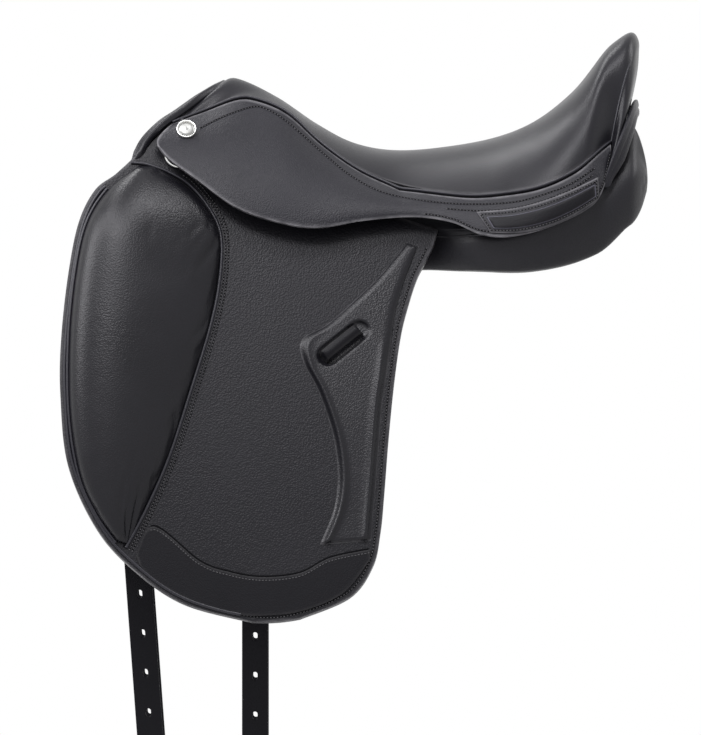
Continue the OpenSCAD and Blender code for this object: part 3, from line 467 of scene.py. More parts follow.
def bake(piece):
    """Put the result of the piece's modifiers into its mesh."""
    finish = [m for m in piece.data.materials]
    depsgraph = bpy.context.evaluated_depsgraph_get()
    depsgraph.update()
    mesh = bpy.data.meshes.new_from_object(piece.evaluated_get(depsgraph))
    piece.modifiers.clear()
    old, name = piece.data, piece.data.name
    piece.data = mesh
    bpy.data.meshes.remove(old)
    mesh.name = name
    if not mesh.materials:
        for m in finish:
            mesh.materials.append(m)
    return piece


def shade(piece):
    piece.data.polygons.foreach_set("use_smooth", [True] * len(piece.data.polygons))
    return piece


print("meshes ready")


# %% Faces
def grid_faces(rows, cols, closed=False):
    i, j = np.meshgrid(np.arange(rows - 1), np.arange(cols if closed else cols - 1), indexing="ij")
    k = (j + 1) % cols
    corners = [i * cols + j, (i + 1) * cols + j, (i + 1) * cols + k, i * cols + k]
    return np.stack(corners, -1).reshape(-1, 4)


def face_outward(points, faces, out):
    """Turn all the faces round where most of them look away from out."""
    p = points.reshape(-1, 3)
    n = np.cross(p[faces[:, 2]] - p[faces[:, 0]], p[faces[:, 3]] - p[faces[:, 1]])
    return faces if (n @ np.asarray(out, float)).sum() > 0 else faces[:, ::-1]


def loft(name, rings, finish):
    """Closed loft through rings of points, with flat ends."""
    n, m = rings.shape[:2]
    points, faces = rings.reshape(-1, 3), grid_faces(n, m, closed=True)
    q = (points - points.mean(0))[faces]
    volume = (q[:, 0] * np.cross(q[:, 2] - q[:, 0], q[:, 3] - q[:, 1])).sum()
    faces = faces.tolist() + [list(range(m)), list(range(n * m - m, n * m))[::-1]]
    return shade(new_object(name, points, [f if volume > 0 else f[::-1] for f in faces], finish))


def fanned(rings):
    """Points and faces of a loft through rings, ended by two fans that look into it."""
    n, m = rings.shape[0] * rings.shape[1], rings.shape[1]
    fans = [[(j + 1) % m, j, n] for j in range(m)]
    fans += [[n - m + j, n - m + (j + 1) % m, n + 1] for j in range(m)]
    points = np.vstack([rings.reshape(-1, 3), rings[0].mean(0), rings[-1].mean(0)])
    return points, grid_faces(*rings.shape[:2], closed=True).tolist() + fans


print("faces ready")


# %% Leather sheets
def rim_distance(grid):
    """Distance in millimetres of each grid point from the nearest of the four edges."""
    down = np.linalg.norm(np.diff(grid, axis=0), axis=2)
    across = np.linalg.norm(np.diff(grid, axis=1), axis=2)
    zero_row, zero_col = np.zeros((1, grid.shape[1])), np.zeros((grid.shape[0], 1))
    top = np.vstack([zero_row, np.cumsum(down, 0)])
    left = np.hstack([zero_col, np.cumsum(across, 1)])
    return np.minimum.reduce([top, top[-1] - top, left, left[:, -1:] - left])


def leather_sheet(name, grid, out, thickness, finish, edge=1.2, shares=None):
    """Leather whose face is a grid of points and whose cut edges are rounded.

    Shares, one for each point, pare the leather down where they are below 1."""
    faces = face_outward(grid, grid_faces(*grid.shape[:2]), out)
    piece = new_object(name, grid, faces.tolist(), finish)
    # The edge number lightens cut edges: partly rubbing, partly a painted highlight.
    mark = piece.data.attributes.new("edge", "FLOAT", "POINT")
    worn = np.clip(1.25 - rim_distance(grid) / 2.4, 0, 1)
    mark.data.foreach_set("value", worn.ravel().astype(np.float32))
    wall = piece.modifiers.new("thickness", "SOLIDIFY")
    wall.thickness = thickness * MM
    wall.offset = -1
    wall.use_even_offset = False
    if shares is not None:
        pared = piece.vertex_groups.new(name="pared")
        for i, share in enumerate(shares.ravel()):
            pared.add([i], float(share), "REPLACE")
        wall.vertex_group = pared.name
    if edge:
        cut = piece.modifiers.new("cut edge", "BEVEL")
        cut.width = edge * MM
        cut.segments = 3
        cut.limit_method = "ANGLE"
        cut.angle_limit = math.radians(55)
    return shade(bake(piece))


print("sheets ready")


# %% Pairs
def mirrored(piece, name):
    """The same piece for the near side."""
    mesh = piece.data.copy()
    mesh.name = name
    co = np.empty(len(mesh.vertices) * 3)
    mesh.vertices.foreach_get("co", co)
    co = co.reshape(-1, 3) * (1, -1, 1)
    mesh.vertices.foreach_set("co", co.ravel())
    mesh.flip_normals()
    mesh.update()
    copy = bpy.data.objects.new(name, mesh)
    scene.collection.objects.link(copy)
    return copy


def pair(name, make, *args, **values):
    """Make a piece for the off side and mirror it: {"right": ..., "left": ...}."""
    right = make(f"{name}_right", *args, **values)
    return {"right": right, "left": mirrored(right, f"{name}_left")}


SIDES = ("left", "right")


def fit(piece, body, slot, *nodes, fill=None):
    """Let a piece ride on a body and hide the CAD nodes it stands for; the material slot is not
    used.
    """
    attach(piece, body)
    if nodes:
        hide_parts(*nodes)


def fit_pair(pieces, body, slot, *nodes, fill=None):
    """The same for both sides of a pair; {} in a name is the side."""
    for side in SIDES:
        names = [node.format(side) for node in nodes]
        fit(pieces[side], body.format(side), slot, *names, fill=fill)


print("pairs ready")

# %% [markdown]
# ## Stitches and welts
# Hundreds of stitches lie along the seams. Drawing each one by hand would never end evenly,
# so a Geometry Nodes tree walks along a seam, drops a small grain-shaped stitch every few
# millimetres and turns it along the seam. A second tree sweeps a round cord along a path,
# for the welts that are sewn into the seams.


# %% Stitch tree
def new_tree(name, inputs):
    geometry = ("Geometry", "NodeSocketGeometry")
    return new_group(name, [(*geometry, None), *inputs], [geometry], "GeometryNodeTree")


def end_tree(tree, shape, finish, result):
    """Make the shape real, smooth and finished, and give it out."""
    real = put(tree, "GeometryNodeRealizeInstances", Geometry=shape)
    soft = put(tree, "GeometryNodeSetShadeSmooth", Geometry=real.outputs[0])
    dyed = put(tree, "GeometryNodeSetMaterial", Geometry=soft.outputs[0], Material=finish)
    tree.links.new(dyed.outputs[0], result.inputs[0])
    print("tree:", tree.name)


stitch_tree, given, result = new_tree("stitch row", [
    ("Pitch", FLOAT, 0.0032), ("Length", FLOAT, 0.0024), ("Thickness", FLOAT, 0.0009),
    ("Thread", "NodeSocketMaterial", None)])
t = stitch_tree
seam = put(t, "GeometryNodeMeshToCurve", Mesh=given.outputs["Geometry"])
marks = put(t, "GeometryNodeResampleCurve", {"mode": "LENGTH"}, Curve=seam.outputs["Curve"],
            Length=given.outputs["Pitch"])
tangent = put(t, "GeometryNodeInputTangent").outputs[0]
turn = put(t, "FunctionNodeAlignRotationToVector", {"axis": "X"}, Vector=tangent)
size = put(t, "ShaderNodeCombineXYZ", X=given.outputs["Length"], Y=given.outputs["Thickness"],
           Z=given.outputs["Thickness"])
ball = put(t, "GeometryNodeMeshUVSphere", Segments=6, Rings=5, Radius=0.5)
laid = put(t, "GeometryNodeInstanceOnPoints", Points=marks.outputs["Curve"],
           Instance=ball.outputs["Mesh"], Rotation=turn.outputs["Rotation"],
           Scale=size.outputs["Vector"])
end_tree(t, laid.outputs["Instances"], given.outputs["Thread"], result)

# %% Welt tree
welt_tree, given, result = new_tree("welt cord", [
    ("Diameter", FLOAT, 0.003), ("Sides", "NodeSocketInt", 10),
    ("Leather", "NodeSocketMaterial", None)])
t = welt_tree
seam = put(t, "GeometryNodeMeshToCurve", Mesh=given.outputs["Geometry"])
radius = math_node(t, "MULTIPLY", given.outputs["Diameter"], 0.5)
section = put(t, "GeometryNodeCurvePrimitiveCircle", Resolution=given.outputs["Sides"],
              Radius=radius)
cord = put(t, "GeometryNodeCurveToMesh", Curve=seam.outputs["Curve"],
           Profile_Curve=section.outputs["Curve"], Fill_Caps=True)
end_tree(t, cord.outputs["Mesh"], given.outputs["Leather"], result)


# %% Rows along seams
def seam_object(name, paths):
    points, edges, start = [], [], 0
    for path in paths:
        points.append(np.asarray(path, float))
        edges += [(start + i, start + i + 1) for i in range(len(path) - 1)]
        start += len(path)
    return new_object(name, np.vstack(points), [], None, edges)


def grow(piece, tree, **inputs):
    """Run a Geometry Nodes tree on a piece and keep the result as a plain mesh."""
    step = piece.modifiers.new(tree.name, "NODES")
    step.node_group = tree
    labels = {s.name: s.identifier for s in tree.interface.items_tree if s.in_out == "INPUT"}
    for label, value in inputs.items():
        step[labels[label]] = value
    return bake(piece)


def stitches(name, paths, pitch=3.2, length=2.4, thickness=0.9):
    return grow(seam_object(name, paths), stitch_tree, Pitch=pitch * MM, Length=length * MM,
                Thickness=thickness * MM, Thread=black_thread)


def welt(name, paths, diameter, finish=welt_leather, sides=10):
    return grow(seam_object(name, paths), welt_tree, Diameter=diameter * MM, Sides=sides,
                Leather=finish)


def groove(name, paths, width):
    """Dark cord under a row of stitches: painted shade of the groove there."""
    return welt(name, paths, width, seam_shadow, sides=6)


OUTWARD = (0, 1, 0)
print("rows ready")

# %% [markdown]
# ## The seat
# The seat is one piece of leather drawn over foam. Across it, v runs from seam to seam, and
# along it, u runs from the pommel to the tip of the cantle. The seam leads the middle line at
# the pommel and lags behind it at the cantle, which turns the leather from a narrow waist into
# a wide upright cantle without a crease. The back of the cantle carries on from the rim, so
# both are one sheet here, and the rim is rolled by averaging the rows on either side of it.

# %% Measures of the seat
pommel_reach, cantle_reach = 157, 222
pommel_height, seat_height, cantle_height = 185, 113, 228
pommel_half, twist_half, seat_half = 40, 60, 131
seat_front, edge_front, edge_rear, lead_from, lag_from = -1.1, -1.39, 0.91, -0.6, 0.5
pommel_rise = [[0, 0], [0.25, 0.1], [0.5, 0.38], [0.75, 0.745], [1, 1], [1.12, 0.98], [1.39, 0.55]]
cantle_rise = [[0, 0], [0.35, 0.1], [0.57, 0.25], [0.75, 0.515], [0.9, 0.86], [1, 1]]
edge_drop = [[-1.39, 10], [-1.11, 24], [-0.92, 13], [-0.68, 7.5], [-0.48, 15], [-0.21, 24],
             [0.08, 38], [0.3, 49.5], [0.5, 58], [0.74, 75], [0.91, 90]]
half_widths = [[-1.39, pommel_half + 30], [-1.11, pommel_half + 8], [-0.92, pommel_half],
               [-0.68, mix(pommel_half, twist_half, 0.4)], [-0.48, twist_half],
               [0, mix(twist_half, seat_half, 0.5)], [0.3, mix(twist_half, seat_half, 0.87)],
               [0.58, seat_half], [0.8, seat_half * 0.88], [0.91, seat_half * 0.67]]
crown_power = [[seat_front, 2.2], [-0.4, 2.2], [0.4, 2.7], [1, 3.2]]
print("seat from", pommel_height, "mm at the pommel to", cantle_height, "mm at the cantle")


# %% Seat surface
def seat_x(u):
    return np.where(u < 0, u * pommel_reach, u * cantle_reach)


def mid_z(u):
    front = seat_height + (pommel_height - seat_height) * graph(pommel_rise, -np.minimum(u, 0))
    rear = seat_height + (cantle_height - seat_height) * graph(cantle_rise, np.maximum(u, 0))
    return np.where(u < 0, front, rear)


def edge_u(u):
    lead = mix(lead_from, edge_front, (lead_from - u) / (lead_from - seat_front))
    lag = mix(lag_from, edge_rear, (u - lag_from) / (1 - lag_from))
    return np.where(u < lead_from, lead, np.where(u > lag_from, lag, u))


def edge_at(e):
    e = np.asarray(e, float)
    return np.stack([seat_x(e), graph(half_widths, e), mid_z(e) - graph(edge_drop, e)], -1)


def seat_at(u, v):
    u, v = np.broadcast_arrays(np.asarray(u, float), np.asarray(v, float))
    e, a = edge_at(edge_u(u)), np.abs(v)
    z = e[..., 2] + (mid_z(u) - e[..., 2]) * (1 - a ** graph(crown_power, u))
    return np.stack([mix(seat_x(u), e[..., 0], a ** 2), v * e[..., 1], z], -1)


def spread(k):
    """Columns crowd towards the seams, where the seat turns down."""
    return np.sin(np.pi / 2 * k)


print("deepest point at", seat_at(0, 0).round(1))

# %% Back of the cantle
facing_swell = 8
back_low = [[222, 0, 157], [221, 32, 155.5], [219.5, 57, 151], [217, 77, 141], [212.5, 92, 126],
            [206.5, 102.5, 109], [199.5, 111, 93], [193.5, 117, 80]]


def facing_at(v, q):
    """Back of the cantle, from the rim at q 0 to its lower edge at q 1."""
    v, q = np.broadcast_arrays(np.asarray(v, float), np.asarray(q, float))
    low = along(back_low, np.abs(v)) * np.stack([np.ones_like(v), np.sign(v), np.ones_like(v)], -1)
    back = mix(seat_at(1.0, v), low, q[..., None])
    back[..., 0] += facing_swell * np.sin(np.pi * q ** 0.6) * (1 - 0.6 * v ** 4)
    return back


print("back of the cantle down to", back_low[0][2], "mm")

# %% Seat and cantle in one sheet
seat_rows, seat_cols, back_rows = 130, 96, 40
pommel_dip, rim_lift, seat_wall = 4.5, 1.2, 2.0
easing_rounds, rolling_rounds = 120, 10
columns = spread(np.linspace(-1, 1, seat_cols + 1))[None, :]
seat_u = np.linspace(seat_front, 1, seat_rows + 1)[:, None]
seat_grid = seat_at(seat_u, columns)
seat_grid[..., 2] -= pommel_dip * np.exp(-((seat_u - seat_front) / 0.05) ** 2)
eased = np.exp(-(seat_u / 0.28) ** 4)[1:-1, :, None]
for _ in range(easing_rounds):
    seat_grid[1:-1] = mix(seat_grid[1:-1], (seat_grid[:-2] + seat_grid[2:]) / 2, 0.5 * eased)
back_grid = facing_at(columns, np.linspace(0.03, 1, back_rows)[:, None] ** 1.3)
rolled = np.concatenate([seat_grid, back_grid])
top = rolled[..., 2].max()
past_rim = (np.arange(len(rolled)) - seat_rows - 1)[:, None]
roll = np.exp(-(past_rim / 3.5) ** 2)
off_ends = 1 - np.abs(columns) ** 3
for _ in range(rolling_rounds):
    mean = rolled.copy()
    mean[1:-1] = (rolled[:-2] + rolled[1:-1] * 2 + rolled[2:]) / 4
    rolled = mix(rolled, mean, roll[..., None])
rolled[..., 2] += roll * (top + rim_lift - rolled[..., 2].max()) * off_ends
fatter = 2.4 * np.exp(-((past_rim - 5) / 6) ** 2) - 2.2 * np.exp(-((past_rim + 5) / 4) ** 2)
rolled[..., 0] += fatter * off_ends
seat = leather_sheet("seat_leather", rolled, (0.2, 0, 1), seat_wall, seat_leather, edge=0.6)
fit(seat, "saddle", "seat_leather", "seat_cover", "seat_foam_pad", "cantle_facing", fill=0.95)
print("seat:", len(seat.data.polygons), "faces")

# %% [markdown]
# ## The skirts
# The skirt is a soft-edged piece of thick leather between the seat and the flap. Its front
# lifts over the stirrup bar. The CAD model splits it along the crease, but leather bends, so
# here it is one sheet.
# The leather is pared thinner over the catch of the stirrup bar, so that the catch can turn.

# %% Skirt surface
seam_gap, skirt_out, skirt_swell, skirt_wall = 4.8, 2, 15, 4.5
skirt_low = [[-230, 104, 119], [-222, 111, 107], [-194, 122, 86], [-157, 135, 60], [-114, 139, 45],
             [-78, 139, 40.5], [-35, 134, 47], [12, 130, 50.5], [48, 137, 46], [76, 147, 34.5],
             [104, 151, 32], [140, 149, 40], [178, 136, 57], [194, 122, 75], [203, 97, 112]]
skirt_seam = [-1.39, -1.265, -1.11, -0.92, -0.68, -0.48, -0.21, 0.077, 0.21, 0.333, 0.473, 0.605,
              0.743, 0.835, 0.91]
skirt_edge = np.array(skirt_low) + (0, skirt_out, 0)
skirt_nose = [[0, 0], [0.3, -4], [0.6, -6], [0.85, -4.6], [1, -0.8]]
skirt_swells = [[0, 0.2], [0.12, 0.75], [0.2, 1], [0.4, 1], [0.55, 0.35], [1, 0.25]]
crease_from, crease_to = np.array([-226, 0, 131]), np.array([12, 0, 51])
catch_x, catch_z = -82, 74


def skirt_at(r, q):
    """Outer face at r from front to rear and q from the seam to the lower edge."""
    r, q = np.broadcast_arrays(np.asarray(r, float), np.asarray(q, float))
    a, b = edge_at(along(skirt_seam, r)), along(skirt_edge, r)
    k = mix(seam_gap / np.linalg.norm(b - a, axis=-1), 1, q)
    lift = skirt_swell * graph(skirt_swells, r) * 4 * k * (1 - k)
    nose = graph(skirt_nose, q) * np.exp(-(r / 0.05) ** 2)
    return mix(a, b, k[..., None]) + np.stack([nose, lift, 0 * lift], -1)


print("skirt from", skirt_low[0][0], "to", skirt_low[-1][0], "mm")

# %% Skirt leather
skirt_grid = skirt_at(np.linspace(0, 1, 181)[:, None], np.linspace(0, 1, 41)[None, :])
leaning = unit(np.cross(np.gradient(skirt_grid, axis=0), np.gradient(skirt_grid, axis=1)))[..., 1]
from_catch = skirt_grid - (catch_x, 0, catch_z)
over_catch = np.exp(-(from_catch[..., 0] / 32) ** 2 - (from_catch[..., 2] / 22) ** 2)
skirts = pair("skirt", leather_sheet, skirt_grid, (0, 1, 0.2), skirt_wall - 0.2, skirt_leather,
              edge=1.3, shares=np.abs(leaning) * (1 - 0.5 * over_catch))
crease = crease_to - crease_from
fall = unit(np.array([crease[2], 0.0, -crease[0]]))
for side in SIDES:
    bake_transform(skirts[side])
    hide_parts(f"skirt_{side}", f"skirt_fold_{side}")
print("skirt fold falls along", np.round(fall, 3))

# %% Welt between seat and skirt
r = np.linspace(0, 1, 140)
seam_top, seam_low = edge_at(along(skirt_seam, r)), along(skirt_edge, r)
welt_path = seam_top + unit(seam_low - seam_top) * seam_gap * 0.5 + (0, 0.6, 0.9)
welts = pair("seat_welt", welt, [welt_path], 2.9)
# A wide dark cord under the welt is painted shade, filling the gap between seat and skirt.
seam_shade_fills = pair("seam_tape", welt, [welt_path + (0, -2.4, -2.2)], 6.4, seam_shadow)
fit_pair(welts, "saddle", "black_leather", "seat_welt_{}")
fit_pair(seam_shade_fills, "saddle", "black_leather")
print("welt:", round(np.linalg.norm(np.diff(welt_path, axis=0), axis=1).sum()), "mm")

# %% [markdown]
# ## The flaps
# The flap is a padded sheet that bends about lines parallel to its fold, as leather cut from
# the flat does. The part above the fold is nailed to the tree and notched for the stirrup bar,
# and the part below swings. Both are one sheet here, bent across the fold.

# %% Flap surface
fold_x, fold_z, fold_angle, fold_splay = -240, 106, math.radians(17), 0.09
flap_half, flap_flare, flap_bend, flap_wall = 96, 0.37, 0.0002, 9
flap_front, flap_top, flap_width, flap_length = -325, 110, 358, 446
bar_s, bar_length, notch_low = 80, 78, -5
front_marks = [[0.146, 0.04], [0.0905, 0.0744], [0.0473, 0.1434], [0.0202, 0.251], [0.0014, 0.389],
               [-0.001, 0.51], [0.02, 0.664], [0.098, 0.802], [0.2, 0.8915], [0.33, 0.9615],
               [0.511, 1]]
rear_marks = [[0.975, 0.229], [0.953, 0.264], [0.932, 0.3155], [0.9105, 0.384], [0.892, 0.488],
              [0.877, 0.608], [0.865, 0.729], [0.8555, 0.806], [0.8355, 0.8795], [0.774, 0.947],
              [0.64, 0.993]]
fold_from, fold_to = -14.0, 284.0
head_high = [[fold_from, -0.5], [-8, -4.5], [-4, -15.5], [3, -33], [9, -43], [16, -47], [24, -45],
             [34, -36], [46, -24], [100, -22], [200, -19], [fold_to, -16]]


def flap_st(s, t, out=0.0):
    """Point at s along the fold and t down from it."""
    x = fold_x + s * math.cos(fold_angle) - t * math.sin(fold_angle)
    z = fold_z - s * math.sin(fold_angle) - t * math.cos(fold_angle)
    y = flap_half + flap_flare * t - flap_bend * t ** 2 + fold_splay * s + out
    return np.stack(np.broadcast_arrays(x, y, z), -1)


def flap_at(p, out=0.0):
    """Point over the flap at a place [x, z] seen from the side."""
    p = np.asarray(p, float)
    dx, dz = p[..., 0] - fold_x, p[..., 1] - fold_z
    s = dx * math.cos(fold_angle) - dz * math.sin(fold_angle)
    t = -dx * math.sin(fold_angle) - dz * math.cos(fold_angle)
    return flap_st(s, t, out)


def on_outline(marks):
    """Places seen from the side, from shares of the flap's width and length."""
    m = np.asarray(marks, float)
    return np.stack([flap_front + m[:, 0] * flap_width, flap_top - m[:, 1] * flap_length], -1)


fold_ends = flap_st(np.array([fold_from, fold_to]), 0.0)[:, [0, 2]]
front_edge = np.vstack([fold_ends[:1], on_outline(front_marks)])
rear_edge = np.vstack([fold_ends[1:], on_outline(rear_marks)])


def head_tuck(s, t):
    """How far the front of the head lies in, under the front strip."""
    return 0.3 * np.maximum(0, -t - 4) * np.clip((34 - s) / 20, 0, 1)


print("fold of the flap:", round(fold_to - fold_from), "mm")

# %% Flap leather
notch_from, notch_to = bar_s - 1, bar_s + bar_length + 1
s_marks = np.concatenate([np.linspace(fold_from, notch_from, 26),
                          np.linspace(notch_from + 0.4, notch_to - 0.4, 20),
                          np.linspace(notch_to, fold_to, 32)])
in_notch = (s_marks > notch_from + 0.1) & (s_marks < notch_to - 0.1)
top_t = np.where(in_notch, notch_low, graph(head_high, s_marks))
share = (s_marks - fold_from) / (fold_to - fold_from)
head_rows = np.linspace(0, 1, 9)[:-1, None]
head_t = mix(top_t[None, :], 0.0, head_rows)
head_s = np.broadcast_to(s_marks, head_t.shape)
head_grid = flap_st(head_s, head_t, -head_tuck(head_s, head_t))
u = np.linspace(0, 1, 130)
flap_rows = ruled(front_edge, rear_edge, u, share)
flap_rows[..., 1] -= 6.4 * (share * (1 - share))[None, :] * u[:, None] ** 6
flap_grid = np.concatenate([head_grid, flap_at(flap_rows)])
flaps = pair("flap", leather_sheet, flap_grid, OUTWARD, flap_wall - 0.9, flap_leather, edge=2.4)
for side in SIDES:
    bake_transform(flaps[side])
    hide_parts(f"flap_head_{side}", f"flap_{side}")
print("flap:", len(flaps["left"].data.polygons), "faces")

# %% [markdown]
# ## Knee blocks
# The block is a leather pad over shaped foam, sewn to the flap along its rear edge with a welt
# and two rows of stitches. It could be sculpted by hand. Here a slightly low form is blown up
# by the cloth solver with its edge held, as stuffing does, and the move is capped so that
# the pad keeps to its place.

# %% Block surface
block_inset, block_height, block_skin, rear_share = 8, 36, 2.2, 0.55
block_rear = on_outline([[0.24, 0.022], [0.34, 0.0722], [0.405, 0.1368], [0.42, 0.206],
                         [0.39, 0.365], [0.342, 0.492], [0.2816, 0.6437], [0.22, 0.7567],
                         [0.173, 0.8363]]) + (2, 0)
block_front = on_outline([[0.185, 0.022], [0.107, 0.0715], [0.05, 0.1437], [0.02, 0.2478],
                          [0.002, 0.3964], [0.004, 0.555], [0.03, 0.6838], [0.075, 0.767],
                          [0.13, 0.83]]) + (block_inset, 0)
block_profile = [[0, 0.05], [0.05, 0.3], [0.1, 0.52], [0.15, 0.71], [0.2, 0.86], [0.25, 0.96],
                 [0.3, 1], [0.4, 0.98], [0.6, 0.85], [0.8, 0.6], [0.9, 0.42], [1, 0.1]]


def bulge(k, power):
    """Rounded height across a pad, 0 at both edges."""
    return np.maximum(0, 1 - np.abs(2 * k - 1) ** power) ** (1 / power)


print("block up to", block_height, "mm high")


# %% Inflating with cloth
def inflate(piece, held, pressure, cap, frames=20):
    """Blow a closed pad up with the cloth solver; held points stay and no point moves past cap."""
    pins = piece.vertex_groups.new(name="held")
    pins.add([int(i) for i in held], 1.0, "REPLACE")
    start = np.array([v.co for v in piece.data.vertices])
    cloth = piece.modifiers.new("stuffing", "CLOTH")
    cloth.settings.quality = 6
    cloth.settings.mass = 0.2
    cloth.settings.use_pressure = True
    cloth.settings.uniform_pressure_force = pressure
    cloth.settings.vertex_group_mass = "held"
    cloth.settings.effector_weights.gravity = 0
    cloth.point_cache.frame_start, cloth.point_cache.frame_end = 1, frames
    for f in range(1, frames + 1):
        scene.frame_set(f)
    depsgraph = bpy.context.evaluated_depsgraph_get()
    blown = piece.evaluated_get(depsgraph).to_mesh()
    move = np.array([v.co for v in blown.vertices]) - start
    piece.modifiers.remove(cloth)
    scene.frame_set(1)
    length = np.linalg.norm(move, axis=1, keepdims=True)
    move *= np.minimum(1, cap * MM / np.maximum(length, 1e-9))
    piece.data.vertices.foreach_set("co", (start + move).ravel())
    piece.data.update()
    piece.vertex_groups.remove(pins)
    most = float(np.linalg.norm(move, axis=1).max() / MM)
    print(piece.name, "swelled by up to", round(most, 1), "mm")


print("stuffing ready")


# %% Knee blocks
def knee_block(name):
    rows, cols, fill = 97, 61, 0.92
    i = np.linspace(0, 1, rows)[:, None]
    k = crowded(cols)[None, :]
    seen = ruled(block_rear, block_front, i[:, 0], k[0])
    ends = np.sqrt(np.clip(np.minimum(i / 0.03, (1 - i) / 0.04), 0, 1))
    slope = mix(rear_share, 1, smooth(k / 0.85))
    full = block_height * fill * graph(block_profile, i) + block_skin
    rise = full * bulge(k, 2.6) * ends * slope
    face, base = flap_at(seen, 0.35 + rise), flap_at(seen, 0.3)
    face[0], face[-1], face[:, 0], face[:, -1] = base[0], base[-1], base[:, 0], base[:, -1]
    faces = face_outward(face, grid_faces(rows, cols), OUTWARD)
    inner = np.full((rows, cols), -1)
    inner[1:-1, 1:-1] = rows * cols + np.arange((rows - 2) * (cols - 2)).reshape(rows - 2, cols - 2)
    index = np.arange(rows * cols).reshape(rows, cols)
    lower = np.where(inner >= 0, inner, index).ravel()
    points = np.vstack([face.reshape(-1, 3), base[1:-1, 1:-1].reshape(-1, 3)])
    piece = new_object(name, points, faces.tolist() + lower[faces[:, ::-1]].tolist(), block_leather)
    held = np.concatenate([lower, index[[0, 1, -2, -1]].ravel(), index[:, [0, 1, -2, -1]].ravel()])
    inflate(piece, np.unique(held), 4.0, 3.0)
    return shade(piece)


blocks = pair("knee_block", knee_block)
fit_pair(blocks, "flap_{}", "seat_leather", "block_cover_{}", "block_core_{}", fill=0.9)
print("blocks made")

# %% [markdown]
# ## Trim on the flap
# A welt runs round the knee block, and the flap has a stitched edge, a smooth crescent where the
# girth buckles rub, and a raised rest of glossier leather behind the leg, with a loop on it for
# the tail of the stirrup leather. The crease of the stitched edge and the lines beside the welt
# are dark cords of painted shade.


# %% Welts and stitches of the flap
def edge_line(points, inset, n=120, low=0.0, high=1.0):
    """Line at a distance inside an outline seen from the side, on the side of the flap's middle."""
    u = np.linspace(low, high, n)
    line = along(points, u)
    ahead = unit(along(points, np.minimum(u + 0.004, 1)) - along(points, np.maximum(u - 0.004, 0)))
    across = np.stack([-ahead[:, 1], ahead[:, 0]], -1)
    middle = np.array([-170.0, -110.0])
    facing = np.sign(((middle - line) * across).sum(1)).mean()
    return line + across * inset * (1 if facing > 0 else -1)


flap_outline = np.vstack([front_edge, rear_edge[::-1]])
edge_row = flap_at(edge_line(flap_outline, 4.5, 420, 0.4, 0.985), 0.35)
block_seam = np.array([[-258, 103], [-249, 102.3], [-240, 100.5], [-222, 94], [-200.6, 80.6],
                       [-180.5, 55], [-171.5, 30], [-173, -10], [-181.4, -52.8],
                       [-198.7, -110.4], [-220.8, -178.6], [-242.9, -229.4], [-262.1, -265.9]])
double_rows = [flap_at(edge_line(block_seam, d, 150, 0.3), 0.35) for d in (3.8, 6.8)]
cords = [flap_at(edge_line(block_seam, 0.0, 140), 0.5),
         flap_at(edge_line(block_front, -1.5, 110, 0.13), 1.0),
         flap_at(edge_line(flap_outline, 4.6, 200, 0.07, 0.47), 0.5)]
# Dark cords under the stitch rows and beside the block's welt and front edge are painted shade of
# grooves.
dark_lines = [row - (0, 0.7, 0) for row in [edge_row] + double_rows]
dark_lines += [flap_at(edge_line(block_seam, -2.6, 110, 0.1), 0.6),
               flap_at(edge_line(block_front, -4.0, 110, 0.13), 0.1)]
block_welts = pair("block_welt", welt, cords, 3.4)
flap_groove_shades = pair("flap_groove", groove, dark_lines, 1.9)
flap_stitches = pair("flap_stitches", stitches, [edge_row] + double_rows)
for pieces in (block_welts, flap_groove_shades, flap_stitches):
    fit_pair(pieces, "flap_{}", "black_leather")
print("flap stitches:", len(flap_stitches["left"].data.polygons) // 30)

# %% Smooth crescent
wear_top = on_outline([[0.203, 0.86], [0.25, 0.797], [0.3715, 0.871], [0.452, 0.8946],
                       [0.5378, 0.9053], [0.6397, 0.8967], [0.7201, 0.8644], [0.828, 0.846]])
wear_low = on_outline([[0.212, 0.88], [0.27, 0.925], [0.37, 0.964], [0.46, 0.983], [0.54, 0.988],
                       [0.65, 0.977], [0.758, 0.938], [0.828, 0.868]])
wear_wall = 1.6
wear_grid = flap_at(ruled(wear_top, wear_low, np.linspace(0, 1, 120), np.linspace(0, 1, 14)),
                    0.3 + wear_wall)
crescents = pair("wear_leather", leather_sheet, wear_grid, OUTWARD, wear_wall, smooth_leather,
                 edge=0.6)
crescent_line = along(wear_top, np.linspace(0.13, 0.99, 140))
crescent_rows = pair("wear_stitches", stitches, [flap_at(crescent_line - (0, 3.2), 0.4 + wear_wall)])
# A dark cord along the top of the crescent is painted shade.
crescent_groove_shades = pair("wear_groove", groove, [flap_at(crescent_line + (0, 0.6), 0.5)], 2.4)
fit_pair(crescents, "flap_{}", "black_leather", "wear_leather_{}")
for pieces in (crescent_rows, crescent_groove_shades):
    fit_pair(pieces, "flap_{}", "black_leather")
print("crescents made")


# %% Place of the loop on the rest
def flap_axes(t):
    """Directions on the flap: along the fold, down the flap and outward."""
    ahead = unit(np.array([math.cos(fold_angle), fold_splay, -math.sin(fold_angle)]))
    fall = np.array([-math.sin(fold_angle), flap_flare - 2 * flap_bend * t, -math.cos(fold_angle)])
    out = unit(np.cross(ahead, fall))
    return ahead, np.cross(out, ahead), out


keeper_length, keeper_width, keeper_wall, keeper_room = 46, 11, 2.5, 7
keeper_turn = math.radians(-58)
keeper_place = flap_at(on_outline([[0.75, 0.408]])[0])
from_fold = keeper_place - (fold_x, 0, fold_z)
keeper_t = -from_fold[0] * math.sin(fold_angle) - from_fold[2] * math.cos(fold_angle)
ahead, fall, out = flap_axes(keeper_t)
long_way = ahead * math.cos(keeper_turn) + fall * math.sin(keeper_turn)
cross_way = -ahead * math.sin(keeper_turn) + fall * math.cos(keeper_turn)
print("loop at", np.round(keeper_place, 1))

